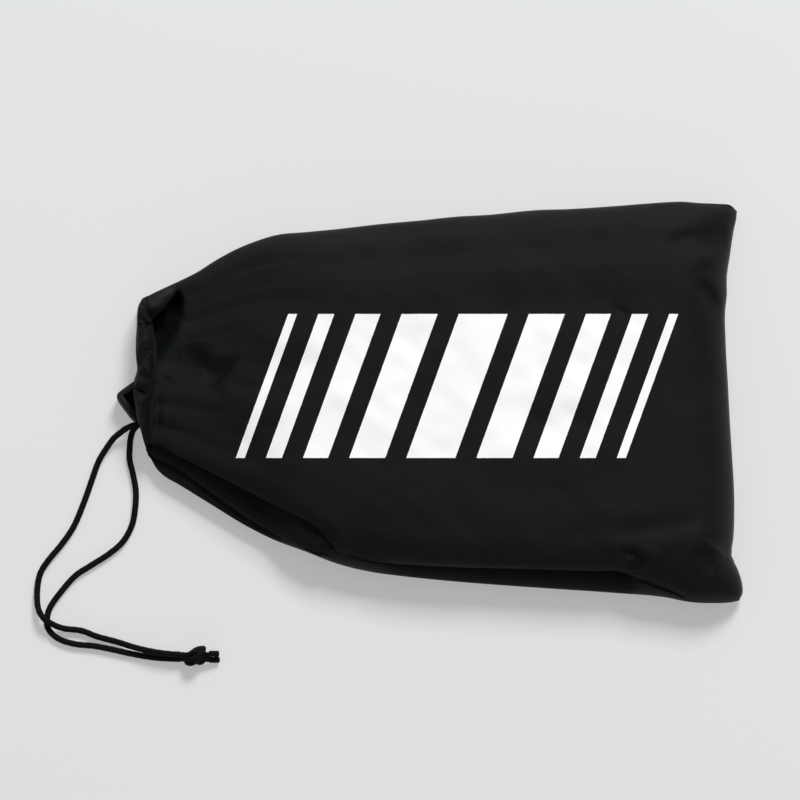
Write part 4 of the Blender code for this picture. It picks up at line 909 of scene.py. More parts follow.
def bag_rows():
    """Pixels and heights of the bag's closed section in each column: front rows from the far seam down to the
    near fold, then back rows on from there, under the bag and up to the far seam."""
    near, far, t = bag_plan(COLUMNS)
    column_px = near[:, 0]
    length_px = np.linalg.norm(far - near, axis=1)
    neck = smooth((column_px - column_px[0]) / NECK_LENGTH_PX)
    height = lerp(MOUTH_HEIGHT, BODY_HEIGHT, neck)[:, None]
    fold, pleat = (straight(rows, column_px)[:, None] for rows in (FOLD_SHARE, PLEAT_SHARE))
    share = smooth(fold)
    fold_in, pleat_in, tuck_in = (
        (table(rows, column_px) / length_px)[:, None] for rows in (FOLD_IN_PX, PLEAT_IN_PX, TUCK_IN_PX)
    )
    fold_z, pleat_z, curl_drop, tuck_drop = (
        table(rows, column_px)[:, None] * MM for rows in (FOLD_Z, PLEAT_Z, CURL_DROP, TUCK_DROP)
    )
    curl_in = (CURL_IN_PX / length_px)[:, None] * share
    size = (length_px * PIXEL)[:, None]

    def near_smooth(v):
        """The near side as one round from the top down to the outline."""
        return OUTLINE_Z + (height - OUTLINE_Z) * quarter(v * size / (NEAR_ROUND + fold_in * size))

    # Front rows over the top
    q = np.linspace(0, 1, TOP_ROWS)
    w = q - 0.55 * np.sin(2 * math.pi * q) / (2 * math.pi)
    v_top = 1 - (1 - fold_in) * w[None, :]
    far_drop = (height - FAR_Z) * (1 - quarter((1 - v_top) * size / FAR_ROUND))
    folded = height - (height - fold_z) * (1 - quarter((v_top - fold_in) * size / NEAR_ROUND))
    z_top = lerp(near_smooth(v_top), folded, share) - far_drop

    def part(count):
        return np.linspace(0, 1, count + 1)[None, 1:] * math.pi / 2

    # Front rows that curl under the fold
    turn = part(CURL_ROWS)
    tuck_v = fold_in + curl_in
    tuck_z = fold_z - curl_drop
    v_curl = fold_in + curl_in * (1 - np.cos(turn))
    z_curl = fold_z - curl_drop * np.sin(turn)

    # Back rows: the layer under the fold, its own pleat, and the wall under that
    total = LAYER_ROWS + TUCK_ROWS + WALL_ROWS
    turn = part(LAYER_ROWS)
    v_layer = tuck_v - (tuck_v - pleat_in) * np.sin(turn)
    z_layer = pleat_z + (tuck_z - pleat_z) * np.cos(turn)
    turn = part(TUCK_ROWS)
    v_tuck = pleat_in + tuck_in * (1 - np.cos(turn))
    z_tuck = pleat_z - tuck_drop * np.sin(turn)
    turn = part(WALL_ROWS)
    low_v, low_z = pleat_in + tuck_in, pleat_z - tuck_drop
    v_wall = low_v * (1 - np.sin(turn))
    foot_z = np.minimum(OUTLINE_Z, low_z)
    z_wall = foot_z + (low_z - foot_z) * np.cos(turn)
    v_pleated = np.concatenate([v_layer, v_tuck, v_wall], 1)
    z_pleated = np.concatenate([z_layer, z_tuck, z_wall], 1)
    turn = part(total)
    v_plain = tuck_v * (1 - np.sin(turn))
    z_plain = OUTLINE_Z + (tuck_z - OUTLINE_Z) * np.cos(turn)
    v_side = lerp(v_plain, v_pleated, pleat)
    z_side = lerp(z_plain, z_pleated, pleat)

    # Where there is no fold, all of these lie on the one round
    count = CURL_ROWS + total
    v_even = fold_in * (1 - np.linspace(0, 1, count + 1)[None, 1:])
    v_all = lerp(v_even, np.concatenate([v_curl, v_side], 1), share)
    z_all = lerp(near_smooth(v_even), np.concatenate([z_curl, z_side], 1), share)
    v_curl, v_side = v_all[:, :CURL_ROWS], v_all[:, CURL_ROWS:]
    z_curl, z_side = z_all[:, :CURL_ROWS], z_all[:, CURL_ROWS:]

    # Back rows under the bag
    turn = part(UNDER_ROWS)
    under_in = FLOOR_ROUND / size
    last_z = z_side[:, -1:]
    v_under = under_in * (1 - np.cos(turn))
    z_under = last_z * (1 - np.sin(turn))
    flat = np.linspace(0, 1, BOTTOM_ROWS + 1)[None, 1:]
    v_flat = lerp(under_in, 1 - under_in, flat)
    z_flat = np.zeros(v_flat.shape)
    v_far = 1 - under_in * (1 - np.sin(turn))
    z_far = FAR_Z * (1 - np.cos(turn)) + np.zeros(v_far.shape)

    front_v = np.concatenate([v_top, v_curl], 1)
    front_z = np.concatenate([z_top, z_curl], 1)
    back_v = np.concatenate([v_curl[:, -1:], v_side, v_under, v_flat, v_far], 1)
    back_z = np.concatenate([z_curl[:, -1:], z_side, z_under, z_flat, z_far], 1)

    def pixels(v):
        left, right = (along(edge[::-1], v) for edge in (CASING_SEAM_PX, RIGHT_EDGE_PX))
        t_, v_ = t[:, None, None], v[..., None]
        ruled = lerp(near[:, None, :], far[:, None, :], v_)
        corners = lerp(lerp(near[0], far[0], v_), lerp(near[-1], far[-1], v_), t_)
        return ruled + lerp(left, right, t_) - corners

    front_px, back_px = pixels(front_v), pixels(back_v)

    def close_end(px, v, z, curve):
        """Bring the heights down to the seam at the closed end."""
        gap = np.maximum(along(RIGHT_EDGE_PX[::-1], v)[..., 0] - px[..., 0], 0) * PIXEL
        gap[-1, :] = 0
        return lerp(table(END_Z, v) * MM, z, quarter(gap / curve))

    window = fold_window(front_v, fold_in * share, length_px)
    front_z = front_z + front_folds(front_px[..., 0], front_px[..., 1]) * window
    front_z = close_end(front_px, front_v, front_z, END_ROUND)
    curve = np.full(back_v.shape[1], FLOOR_ROUND)
    curve[: total + 1] = END_ROUND
    curve[total + 1 : total + 1 + UNDER_ROWS] = np.linspace(END_ROUND, FLOOR_ROUND, UNDER_ROWS)
    back_z = close_end(back_px, back_v, back_z, curve[None, :])
    return front_px, front_v, front_z, back_px, back_v, back_z


def fold_window(v, fold_in, length_px):
    """Keep the sculpted folds off the far seam and off the curled edge."""
    in_far = (1 - v) * length_px[:, None]
    in_near = (v - fold_in) * length_px[:, None]
    return smooth(in_far / 9.0) * smooth((in_near + 3.0) / 9.0)


def ripple(v, seed):
    """The channel's gathers: uneven waves along its rows."""
    rng = np.random.default_rng(seed)
    total = np.zeros(np.shape(v))
    for rate in (4.0, 7.3, 11.1, 15.0):
        total += np.sin(2 * math.pi * (rate * v + rng.uniform())) * rng.uniform(0.5, 1.0)
    return total / 2.0


def section_out(points):
    """Directions straight out of the mouth's section at points."""
    out = np.zeros(points.shape)
    out[..., 1] = (points[..., 1] - MOUTH_CENTRE_Y) / MOUTH_HALF_WIDTH**2
    out[..., 2] = (points[..., 2] - MOUTH_CENTRE_Z) / MOUTH_HALF_HEIGHT**2
    return out / np.linalg.norm(out, axis=-1)[..., None]


def channel_room(base, first, last):
    """How full the channel is along its rows: it goes flat towards both of its ends."""
    reach = reach_of(base)
    from_end = np.maximum(np.minimum(reach - reach[first], reach[last] - reach), 0)
    return 0.10 + 0.90 * smooth(from_end / CHANNEL_TAPER)


def seam_pull(py):
    """How far the thread draws the channel's seam in, deepest beside the folds on its front."""
    return 3.0 * MM * np.exp(-(((py - 365) / 12) ** 2)) + 0.8 * MM * np.exp(-(((py - 401) / 9) ** 2))


def channel_curve(rows, count):
    """Evenly spaced places of the channel's section, as shares of its width and heights."""
    rows = np.asarray(rows, float)
    step = np.hypot(np.diff(rows[:, 0]) * CHANNEL_WIDTH_MM, np.diff(rows[:, 1]))
    step = np.concatenate([[0], np.cumsum(step)])
    where = np.linspace(0, step[-1], count)
    return zip(*(table(np.stack([step, column], 1), where) for column in rows.T))


def channel_columns(px, z, rim_px, out, room, gathers):
    """Columns of the hem channel, from its inner edge round the mouth's rim to its seam, as world points."""
    shares = [(e, b, True) for e, b in channel_curve(CHANNEL_INNER, RETURN_COLUMNS)][:0:-1]
    shares += [(e, b, False) for e, b in channel_curve(CHANNEL_OUTER, OUTER_COLUMNS)][:0:-1]
    columns = []
    for e, b, inner in shares:
        spot = lerp(px, rim_px, e)
        swell = math.sin(math.pi * min(max(e, 0), 1)) ** 0.7
        lift = b * MM * room + gathers * swell * 0.42 * MM * (1 - 0.7 * inner)
        if not inner:
            creases = add_folds(np.zeros(len(px)), spot[:, 0], spot[:, 1], CHANNEL_FOLDS, 1.0)
            lift = lift + np.maximum(creases, CHANNEL_RIDGE) * MM * swell
            lift = lift - seam_pull(spot[:, 1]) * max(1 - e / 0.25, 0)
        columns.append(at_pixel(spot[:, 0], spot[:, 1], z) + out * lift[:, None])
    return columns


def lay_grid(name, columns):
    """A cloth grid as a mesh: columns of world points, with UV places in metres along and across it."""
    points = np.stack(columns, 0)
    step_u = np.linalg.norm(np.diff(points, axis=0), axis=2)
    step_v = np.linalg.norm(np.diff(points, axis=1), axis=2)
    u = np.concatenate([np.zeros((1, points.shape[1])), np.cumsum(step_u, 0)], 0)
    v = np.concatenate([np.zeros((points.shape[0], 1)), np.cumsum(step_v, 1)], 1)
    middle = points.shape[0] // 2
    v = lerp(v, v[middle][None, :], 0.5)
    uv = np.stack([u, v], -1)
    faces = grid_faces(points.shape[0], points.shape[1])
    return mesh_object(name, points, faces, uv)


def lifted(points):
    """Points kept on or over the floor."""
    return np.stack([points[..., 0], points[..., 1], np.maximum(points[..., 2], 0.0)], -1)


def make_bag():
    """The front and back cloth, each with its seam, its directions out and the cord's middle line."""
    front_px, front_v, front_z, back_px, back_v, back_z = bag_rows()
    made = []
    last_back = back_v.shape[1] - 1
    for name, px, v, z, seed, first, last in (
        ("bag_front_cloth", front_px, front_v, front_z, 11, 0, TOP_ROWS - 1),
        ("bag_back_cloth", back_px, back_v, back_z, 12, 1 + LAYER_ROWS + TUCK_ROWS + WALL_ROWS, last_back),
    ):
        base = at_pixel(px[..., 0], px[..., 1], z)
        out = section_out(base[0])
        room = channel_room(base[0], first, last)
        gathers = ripple(v[0], seed) * room
        rim_px = along(MOUTH_EDGE_PX[::-1], v[0])
        channel = channel_columns(px[0], z[0], rim_px, out, room, gathers)
        gap = (px[:, :, 0] - px[0][None, :, 0]) * PIXEL
        dip = CHANNEL_OUTER[0][1] * MM * np.exp(-((gap / (1.6 * MM)) ** 2)) * room[None, :]
        if name == "bag_front_cloth":
            dip = dip - seam_pull(px[:, :, 1]) * np.exp(-((gap / (1.0 * MM)) ** 2))
            dip = dip + gathers[None, :] * 0.4 * MM * np.exp(-gap / (9 * MM)) * smooth(gap / (2 * MM))
        base = base + out[None, :, :] * dip[..., None]
        cloth = lay_grid(name, [lifted(column) for column in channel + list(base)])
        middle_px = lerp(px[0], rim_px, 0.5)
        middle = at_pixel(middle_px[:, 0], middle_px[:, 1], z[0]) - out * (CORD_DEPTH * room)[:, None]
        made.append((cloth, lifted(channel[-3]), out, middle))
    return made


front_side, back_side = make_bag()
front_cloth, front_seam, front_out, front_middle = front_side
back_cloth, back_seam, back_out, back_middle = back_side


def face_out(obj):
    """Turn a cloth's faces so that they look away from a point inside the bag."""
    data = obj.data
    count = len(data.polygons)
    centres, normals = np.zeros(count * 3), np.zeros(count * 3)
    data.polygons.foreach_get("center", centres)
    data.polygons.foreach_get("normal", normals)
    away = centres.reshape(-1, 3) - INSIDE_BAG
    if (away * normals.reshape(-1, 3)).sum() < 0:
        data.flip_normals()


def bend(piece, slot, *nodes):
    """A piece of the bag's cloth, or one held by it, with its place baked into its mesh."""
    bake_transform(piece)
    if nodes:
        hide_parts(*nodes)
    return piece


for cloth, nodes in (
    (front_cloth, ("bag_front_panel", "bag_front_lip", "front_hem_channel")),
    (back_cloth, ("bag_back_panel", "back_hem_channel")),
):
    face_out(cloth)
    bend(thicken(dress(cloth, "cloth"), CLOTH), "black_cloth", *nodes)


# Straps, threads and other small makers


def fill(path, most):
    """A path with points added where they lie far apart."""
    path = np.asarray(path, float)
    out = [path[0]]
    for a, b in zip(path[:-1], path[1:]):
        count = max(int(math.ceil(np.linalg.norm(b - a) / most)), 1)
        out.extend(a + (b - a) * k / count for k in range(1, count + 1))
    return np.array(out)


def arc(centre, radius, start, stop, steps):
    angle = np.radians(np.linspace(start, stop, steps + 1))
    return [(centre[0] + radius * math.cos(a), centre[1] + radius * math.sin(a)) for a in angle]


def strap_section(width, thickness, steps=6):
    """A flat strap's section, closed, with round edges."""
    half, r = width / 2 - thickness / 2, thickness / 2
    across = list(np.linspace(-half, half, steps))
    turn = [math.pi / 2 - math.pi * k / 4 for k in range(1, 4)]
    section = [(x, r) for x in across]
    section += [(half + r * math.cos(a), r * math.sin(a)) for a in turn]
    section += [(x, -r) for x in across[::-1]]
    section += [(-half - r * math.cos(a), -r * math.sin(a)) for a in turn]
    return np.array(section)


def strap(name, path, x, width, thickness, look, plane="yz", closed=False, most=3 * MM, shift=0.0, seed=0):
    """Webbing: a flat strap with round edges, whose path is in a plane and whose width lies across it."""
    path = fill(path, most)
    if closed and np.linalg.norm(path[0] - path[-1]) < 1e-9:
        path = path[:-1]
    if closed:
        tangents = np.roll(path, -1, 0) - np.roll(path, 1, 0)
    else:
        tangents = np.gradient(path, axis=0)
    tangents /= np.maximum(np.linalg.norm(tangents, axis=1)[:, None], 1e-9)
    normals = np.stack([-tangents[:, 1], tangents[:, 0]], 1)
    reach = reach_of(path)
    rng = np.random.default_rng(seed)
    sway = shift * np.sin(reach / reach[-1] * 2 * math.pi * 3.1 + rng.uniform(0, 6))
    section = strap_section(width, thickness)
    flat = path[:, None, :] + normals[:, None, :] * section[None, :, 1, None]
    wide = x + section[None, :, 0] + sway[:, None]
    if plane == "yz":
        points = np.stack([wide, flat[..., 0], flat[..., 1]], -1)
    else:
        points = np.stack([flat[..., 0], wide, flat[..., 1]], -1)
    rows, columns = points.shape[:2]
    faces = grid_faces(rows, columns, wrap=True)
    if closed:
        last = (rows - 1) * columns
        for j in range(columns):
            k = (j + 1) % columns
            faces.append((last + j, last + k, k, j))
    else:
        faces += end_caps(rows, columns)
    piece = mesh_object(name, points, faces, grid_uv(section[:, 0] + width / 2, reach))
    return dress(fix_normals(piece), look)


def fix_normals(obj):
    fixed = bmesh.new()
    fixed.from_mesh(obj.data)
    bmesh.ops.recalc_face_normals(fixed, faces=fixed.faces)
    fixed.to_mesh(obj.data)
    fixed.free()
    return obj


STITCH = 2.5 * MM
STITCH_GAP = 0.7 * MM
STITCH_RISE = 0.16
STITCH_POINTS = 7
THREAD = 0.36 * MM
THREAD_SIDES = 6
SEAM_LIFT = 0.10


def stitches(name, lines):
    """Rows of sewing thread. Each line has points on a surface and the directions out of it there."""
    points, faces = [], []
    for line, outs in lines:
        reach = reach_of(line)
        start = STITCH_GAP
        while start + STITCH < reach[-1]:
            where = start + STITCH * np.linspace(0, 1, STITCH_POINTS)
            middle, out = walk(line, reach, where), walk(outs, reach, where)
            out /= np.linalg.norm(out, axis=1)[:, None]
            ahead = np.gradient(middle, axis=0)
            ahead /= np.linalg.norm(ahead, axis=1)[:, None]
            side = np.cross(ahead, out)
            arch = np.sin(np.linspace(0, math.pi, STITCH_POINTS))
            middle = middle + out * (arch * STITCH_RISE * MM)[:, None]
            radius = THREAD / 2 * (0.55 + 0.45 * arch**0.5)
            first = len(points)
            for k in range(STITCH_POINTS):
                for j in range(THREAD_SIDES):
                    angle = 2 * math.pi * j / THREAD_SIDES
                    around = math.cos(angle) * side[k] + math.sin(angle) * out[k]
                    points.append(middle[k] + radius[k] * around)
            faces.extend(grid_faces(STITCH_POINTS, THREAD_SIDES, start=first, wrap=True))
            last = first + (STITCH_POINTS - 1) * THREAD_SIDES
            faces.append(tuple(range(first, first + THREAD_SIDES)))
            faces.append(tuple(range(last, last + THREAD_SIDES))[::-1])
            start += STITCH + STITCH_GAP
    points = lifted(np.array(points))
    return dress(mesh_object(name, points, faces, np.zeros((len(points), 2))), "thread")


def sewn(a, b):
    """A line to stitch between two points of a face that looks up."""
    line = fill([a, b], 1 * MM)
    return line, np.broadcast_to(np.array([0, 0, 1.0]), line.shape)


# Mouth: stitches, the cord's runs in the channels, and the tab

front_stitches, back_stitches = (
    bend(stitches(name, [(seam + out * SEAM_LIFT * MM, out)]), "black_cloth")
    for name, seam, out in (
        ("front_channel_stitches", front_seam, front_out),
        ("back_channel_stitches", back_seam, back_out),
    )
)

RUN_NEAR, RUN_FAR = -7.5 * MM, 51.2 * MM
RUN_SKIP, RUN_STEP, RUN_SIDES = 9, CORD_STEP * 1.4, 20
FRONT_EXIT = [
    (-0.1608, -0.0092, 0.0172), (-0.1614, -0.0100, 0.0140), (-0.1626, -0.0104, 0.0114), LEG_A_ROUTE[0],
]
BACK_EXIT = [(-0.1612, -0.0094, 0.0052), LEG_B_ROUTE[0]]

# The drawcord inside each channel, from its far end to where it comes out at the mouth
for name, middle, way_out, node in (
    ("cord_front_run", front_middle, FRONT_EXIT, "drawcord_front_run"),
    ("cord_back_run", back_middle, BACK_EXIT, "drawcord_back_run"),
):
    line = middle[(middle[:, 1] > RUN_NEAR) & (middle[:, 1] < RUN_FAR)]
    line = line[np.argsort(-line[:, 1])][::RUN_SKIP]
    line = smooth_route(np.concatenate([line, np.array(way_out)]), RUN_STEP)
    bend(dress(braided(name, line, CORD_DIAMETER, RUN_SIDES), "cord"), "black_cord", node)

TAB_PX = [
    (141.0, 379.0), (135.4, 382.0), (128.0, 387.2), (121.8, 391.8), (118.8, 395.2), (121.0, 399.6),
    (126.8, 407.8), (132.4, 415.6), (139.0, 422.0),
]
TAB_SECTION = [
    (0.50, 3.0), (0.72, 5.2), (0.95, 8.2), (1.05, 10.6), (0.85, 11.8), (0.35, 12.3), (-0.35, 12.3),
    (-0.85, 12.0), (-1.0, 11.2), (-0.88, 9.8), (-0.55, 7.0), (-0.45, 3.0),
]

# How far the doubled rim reaches inwards, along the loop, and which side of its path is out
TAB_BROAD = [(0.0, 3.0), (0.2, 3.0), (0.42, 2.4), (0.55, 2.5), (0.7, 3.2), (0.85, 4.6), (1.0, 4.8)]
TAB_SIDE = -1.0
TAB_TOP = 12 * MM
TAB_POINTS = 33


def make_tab():
    """The channel's doubled end, folded over at its top edge and bent round to a small upright loop, with a
    dark sheet under it that stands in for the shade in its hole.
    """
    places = np.array(TAB_PX)
    line = smooth_route(at_pixel(places[:, 0], places[:, 1], TAB_TOP), 0.5 * MM)
    tangents = np.gradient(line, axis=0)
    normals = np.stack([-tangents[:, 1], tangents[:, 0], np.zeros(len(line))], 1)
    normals /= np.linalg.norm(normals, axis=1)[:, None]
    section = np.array(TAB_SECTION + TAB_SECTION[:1]) * MM
    step = reach_of(section)
    where = np.linspace(0, step[-1], TAB_POINTS)[:-1]
    across, up = walk(section, step, where).T
    count = len(line)
    share = np.linspace(0, 1, count)
    broad = table(TAB_BROAD, share)
    inner = across[None, :] < 0
    wide = across[None, :] * np.where(inner, broad[:, None], 1.0)
    lean = 0.8 * MM * np.sin(share * math.pi)
    points = np.zeros((count, len(where), 3))
    points[..., :2] = line[:, None, :2] + TAB_SIDE * normals[:, None, :2] * (
        wide - lean[:, None] * (up[None, :] - TAB_TOP) / (9 * MM)
    )[..., None]
    points[..., 2] = up[None, :] + 0.25 * MM * (np.sin(share * 14.0) * np.sin(share * math.pi))[:, None]
    faces = grid_faces(count, len(where), wrap=True) + end_caps(count, len(where))
    loop = mesh_object("tab_loop", points, faces, grid_uv(where, share * line_length(line)))
    fix_normals(loop)
    # A sheet of the cloth that closes the loop underneath: a dark floor that stands in for the shade inside
    # the loop
    ring = points[::4, -3, :]
    centre = ring.mean(0)
    floor = [centre + (ring - centre) * share for share in (1.0, 0.7, 0.4)]
    for k, sink in enumerate((1.2, 0.4, 0.0)):
        floor[k] = floor[k] * np.array([1, 1, 0]) + np.array([0, 0, (3.2 + sink) * MM])
    floor = np.concatenate(floor + [np.array([[centre[0], centre[1], 3.1 * MM]])])
    around = len(ring)
    under = grid_faces(3, around, wrap=True)
    under += [(2 * around + j, 2 * around + (j + 1) % around, 3 * around) for j in range(around)]
    base = thicken(mesh_object("tab_base", floor, under, floor[:, :2]), CLOTH, 0.0)
    # The tab wears the lighter copy of the bag cloth, with painted light.
    return dress(join("channel_tab", [loop, base]), "tab_lit_cloth")


stay(make_tab(), "bag", "black_cloth", "channel_end_loop")


# Contents


def middle_of(node, axis):
    low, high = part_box(node)
    return (low[axis] + high[axis]) / 2


def webbing(name, path, x, width, node, body="bag", **shape):
    return stay(strap(name, path, x, width, WEBBING, "webbing", **shape), body, "webbing", node)


def cross_lines(x, half, y_low, y_high, z):
    """Lines of box stitching with its cross, on a strap that lies flat."""
    corners = [(x - half, y_low), (x + half, y_low), (x + half, y_high), (x - half, y_high)]
    rows = [(corners[k], corners[(k + 1) % 4]) for k in range(4)]
    rows += [(corners[0], corners[2]), (corners[1], corners[3])]
    return [sewn((*a, z), (*b, z)) for a, b in rows]


WEBBING = 1.2 * MM
BELT_WIDTH = 38 * MM
TETHER_WIDTH = 25 * MM
TAB_WIDTH = 22 * MM
BELT_NEAR, BELT_FAR = -82.79 * MM, 21.72 * MM
BELT_TURNS, BELT_CORE, BELT_PITCH = 4, 0.8 * MM, 1.65 * MM
BELT_HALF = BELT_CORE + BELT_PITCH * BELT_TURNS + WEBBING / 2
belt_x = middle_of("belt_webbing", 0)
buckle_x = middle_of("socket_strap", 0)
belt_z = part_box("belt_webbing")[0][2] + BELT_HALF


def belt_path():
    """The belt's flat winding: round two centres, further out with each turn."""
    centres = (BELT_FAR - BELT_HALF, BELT_NEAR + BELT_HALF)
    points = []
    for k in range(BELT_TURNS * 2):
        for step in range(15):
            share = k + step / 14
            angle = math.pi * share - math.pi / 2
            radius = BELT_CORE + BELT_PITCH * share / 2
            points.append((centres[k % 2] + radius * math.cos(angle), belt_z + radius * math.sin(angle)))
    points.append((centres[0], belt_z - BELT_CORE - BELT_PITCH * BELT_TURNS))
    return points


webbing("belt_wound", belt_path(), belt_x, BELT_WIDTH, "belt_webbing", most=6 * MM, shift=0.35 * MM, seed=4)


TETHER_LAYERS = 5
TETHER_PITCH = 2.1 * MM


def tether_path():
    low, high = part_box("tether_strap")
    turn = TETHER_PITCH / 2
    margin = turn + WEBBING / 2
    near, far = low[1] + margin, high[1] - margin
    first = low[2] + WEBBING / 2
    rng = np.random.default_rng(8)
    points = [(near, first)]
    for k in range(TETHER_LAYERS):
        level = first + TETHER_PITCH * (k + 0.5)
        short = rng.uniform(0, 2.0) * MM
        if k % 2 == 0:
            points.extend(arc((far - short, level), turn, -90, 90, 8))
        else:
            points.extend(arc((near + short, level), turn, 270, 90, 8))
    points.append((near, first + TETHER_PITCH * TETHER_LAYERS))
    return points


webbing(
    "tether_folded", tether_path(), belt_x, TETHER_WIDTH, "tether_strap", most=6 * MM, shift=0.4 * MM, seed=5
)

BAR_Y = -36.787 * MM
TAB_LOW = belt_z + BELT_HALF - BELT_PITCH / 2 + 0.3 * MM + WEBBING / 2
TAB_LEAF = 1.5 * MM


def ring_tab_path():
    turn = 2.65 * MM
    upper = TAB_LOW + TAB_LEAF
    points = [(BAR_Y - 16 * MM, TAB_LOW)]
    points += arc((BAR_Y, TAB_LOW + turn), turn, -90, 90, 14)
    points += [(BAR_Y - 4 * MM, TAB_LOW + 2.9 * MM), (BAR_Y - 8.8 * MM, upper), (BAR_Y - 16 * MM, upper)]
    return points


webbing("ring_tab_loop", ring_tab_path(), belt_x, TAB_WIDTH, "ring_tab")
tab_top = TAB_LOW + TAB_LEAF + WEBBING / 2
tab_lines = cross_lines(belt_x, 9 * MM, BAR_Y - 15 * MM, BAR_Y - 9.2 * MM, tab_top + 0.02 * MM)
stay(stitches("ring_tab_stitches", tab_lines), "bag", "webbing")

BUCKLE_Z = 7.3 * MM
STRAP_BEND = 0.9 * MM
STRAP_LEVEL = 3.4 * MM
BAR_HALF = 2.1 * MM
SOCKET_BAR_Y = -41.076 * MM
TONGUE_BAR_Y = 8.224 * MM


def bar_turn(bar, toward):
    """A strap's turn round the two corners of a buckle's bar."""
    corner = bar - toward * BAR_HALF
    turn = toward * 90
    points = []
    for level, start in ((2.5 * MM, 90), (-2.5 * MM, 90 + turn)):
        points += arc((corner, BUCKLE_Z + level), STRAP_BEND, start, start + turn, 7)
    return points


def socket_strap_path():
    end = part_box("socket_strap")[0][1]
    edge = SOCKET_BAR_Y - BAR_HALF
    seam = edge + (end - edge) * 0.45
    leaf = 0.75 * MM
    points = [(end, BUCKLE_Z + leaf), (seam, BUCKLE_Z + leaf), (edge, BUCKLE_Z + STRAP_LEVEL)]
    points += bar_turn(SOCKET_BAR_Y, -1)
    points += [(edge, BUCKLE_Z - STRAP_LEVEL), (seam, BUCKLE_Z - leaf), (end, BUCKLE_Z - leaf)]
    return points, end, seam


path, strap_end, strap_seam = socket_strap_path()
webbing("socket_strap_loop", path, buckle_x, BELT_WIDTH, "socket_strap")
strap_lines = cross_lines(
    buckle_x, 15 * MM, strap_end + 2.5 * MM, strap_seam - 1.5 * MM, BUCKLE_Z + 1.37 * MM
)
stay(stitches("socket_strap_stitches", strap_lines), "bag", "webbing")


def tongue_strap_path():
    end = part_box("tongue_strap")[1][1]
    points = [(end, BUCKLE_Z + STRAP_LEVEL)] + bar_turn(TONGUE_BAR_Y, 1)
    return points + [(TONGUE_BAR_Y + 12 * MM, BUCKLE_Z - STRAP_LEVEL)]


webbing("tongue_strap_loop", tongue_strap_path(), buckle_x, BELT_WIDTH, "tongue_strap", "tongue")

GORES = 8
GORE_LAYERS = 6
GORE_CLOTH = 0.13 * MM
GORE_COLUMNS = 24


def make_gore(number):
    """One gore, folded lengthwise and then to and fro in thin layers."""
    node = "canopy_gore_" + str(number + 1)
    low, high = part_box(node)
    rng = np.random.default_rng(30 + number)
    pitch = (high[2] - low[2] - GORE_CLOTH) / (GORE_LAYERS - 1)
    turn = pitch / 2
    path = []
    for k in range(GORE_LAYERS):
        z = low[2] + GORE_CLOTH / 2 + pitch * k
        near, far = low[1] + turn + GORE_CLOTH, high[1] - turn - GORE_CLOTH
        near, far = near + rng.uniform(0, 2.4) * MM, far - rng.uniform(0, 2.4) * MM
        go = (near, far) if k % 2 == number % 2 else (far, near)
        path += [(go[0], z), (go[1], z)]
    rounded = [path[0]]
    for k in range(GORE_LAYERS - 1):
        a, b = path[2 * k + 1], path[2 * k + 2]
        level = (a[1] + b[1]) / 2
        side = 1 if (k % 2 == number % 2) else -1
        where = max(a[0], b[0]) if side > 0 else min(a[0], b[0])
        rounded += arc((where, level), turn, -90 if side > 0 else 270, 90, 6)
    rounded.append(path[-1])
    line = fill(rounded, 7 * MM)
    reach = reach_of(line)
    xs = np.linspace(low[0] + 0.4 * MM, high[0] - 0.4 * MM, GORE_COLUMNS)
    column = np.arange(GORE_COLUMNS)
    rows = []
    for k, (y, z) in enumerate(line):
        edge = 1.2 * MM * math.sin(reach[k] * 31.0 + number) * math.sin(reach[k] * 7.0)
        x = xs + np.where(column > GORE_COLUMNS - 4, min(edge, 0), 0) + np.where(column < 3, max(edge, 0), 0)
        wave = 0.05 * MM * np.sin(xs * 190 + reach[k] * 25 + number)
        rows.append(np.stack([x, np.full(GORE_COLUMNS, y), z + wave], 1))
    cloth = mesh_object(
        node + "_cloth", np.stack(rows), grid_faces(len(rows), GORE_COLUMNS), grid_uv(xs, reach)
    )
    stay(thicken(dress(cloth, "ripstop"), GORE_CLOTH, 0.0), "bag", "canopy_cloth", node)
    return cloth, float(reach[-1]), float(high[0] - low[0])


def round_loop(near, far, bottom, top, r):
    """A closed path with four round corners."""
    path = arc((far - r, bottom + r), r, -90, 0, 6) + arc((far - r, top - r), r, 0, 90, 6)
    path += arc((near + r, top - r), r, 90, 180, 6) + arc((near + r, bottom + r), r, 180, 270, 6)
    return path + path[:1]


def make_band():
    low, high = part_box("canopy_band")
    half = 0.4 * MM
    near, far, bottom, top = low[1] + half, high[1] - half, low[2] + half, high[2] - half
    path = round_loop(near, far, bottom, top, 1.6 * MM)
    x = (low[0] + high[0]) / 2
    band = strap("canopy_band_loop", path, x, 20 * MM, 0.8 * MM, "elastic", closed=True, most=4 * MM)
    lines = [
        sewn((x - 8.5 * MM, y + shift, top + half), (x + 8.5 * MM, y + shift, top + half))
        for y in (-6.0 * MM, 8.0 * MM)
        for shift in (0.0, 1.6 * MM)
    ]
    return band, stitches("canopy_band_stitches", lines)


band, band_sewing = make_band()
stay(band, "bag", "elastic", "canopy_band")
stay(band_sewing, "bag", "elastic")

for number in range(GORES):
    gore, gore_long, gore_wide = make_gore(number)


EDGE_STEPS, EDGE_SIDES = 72, 12


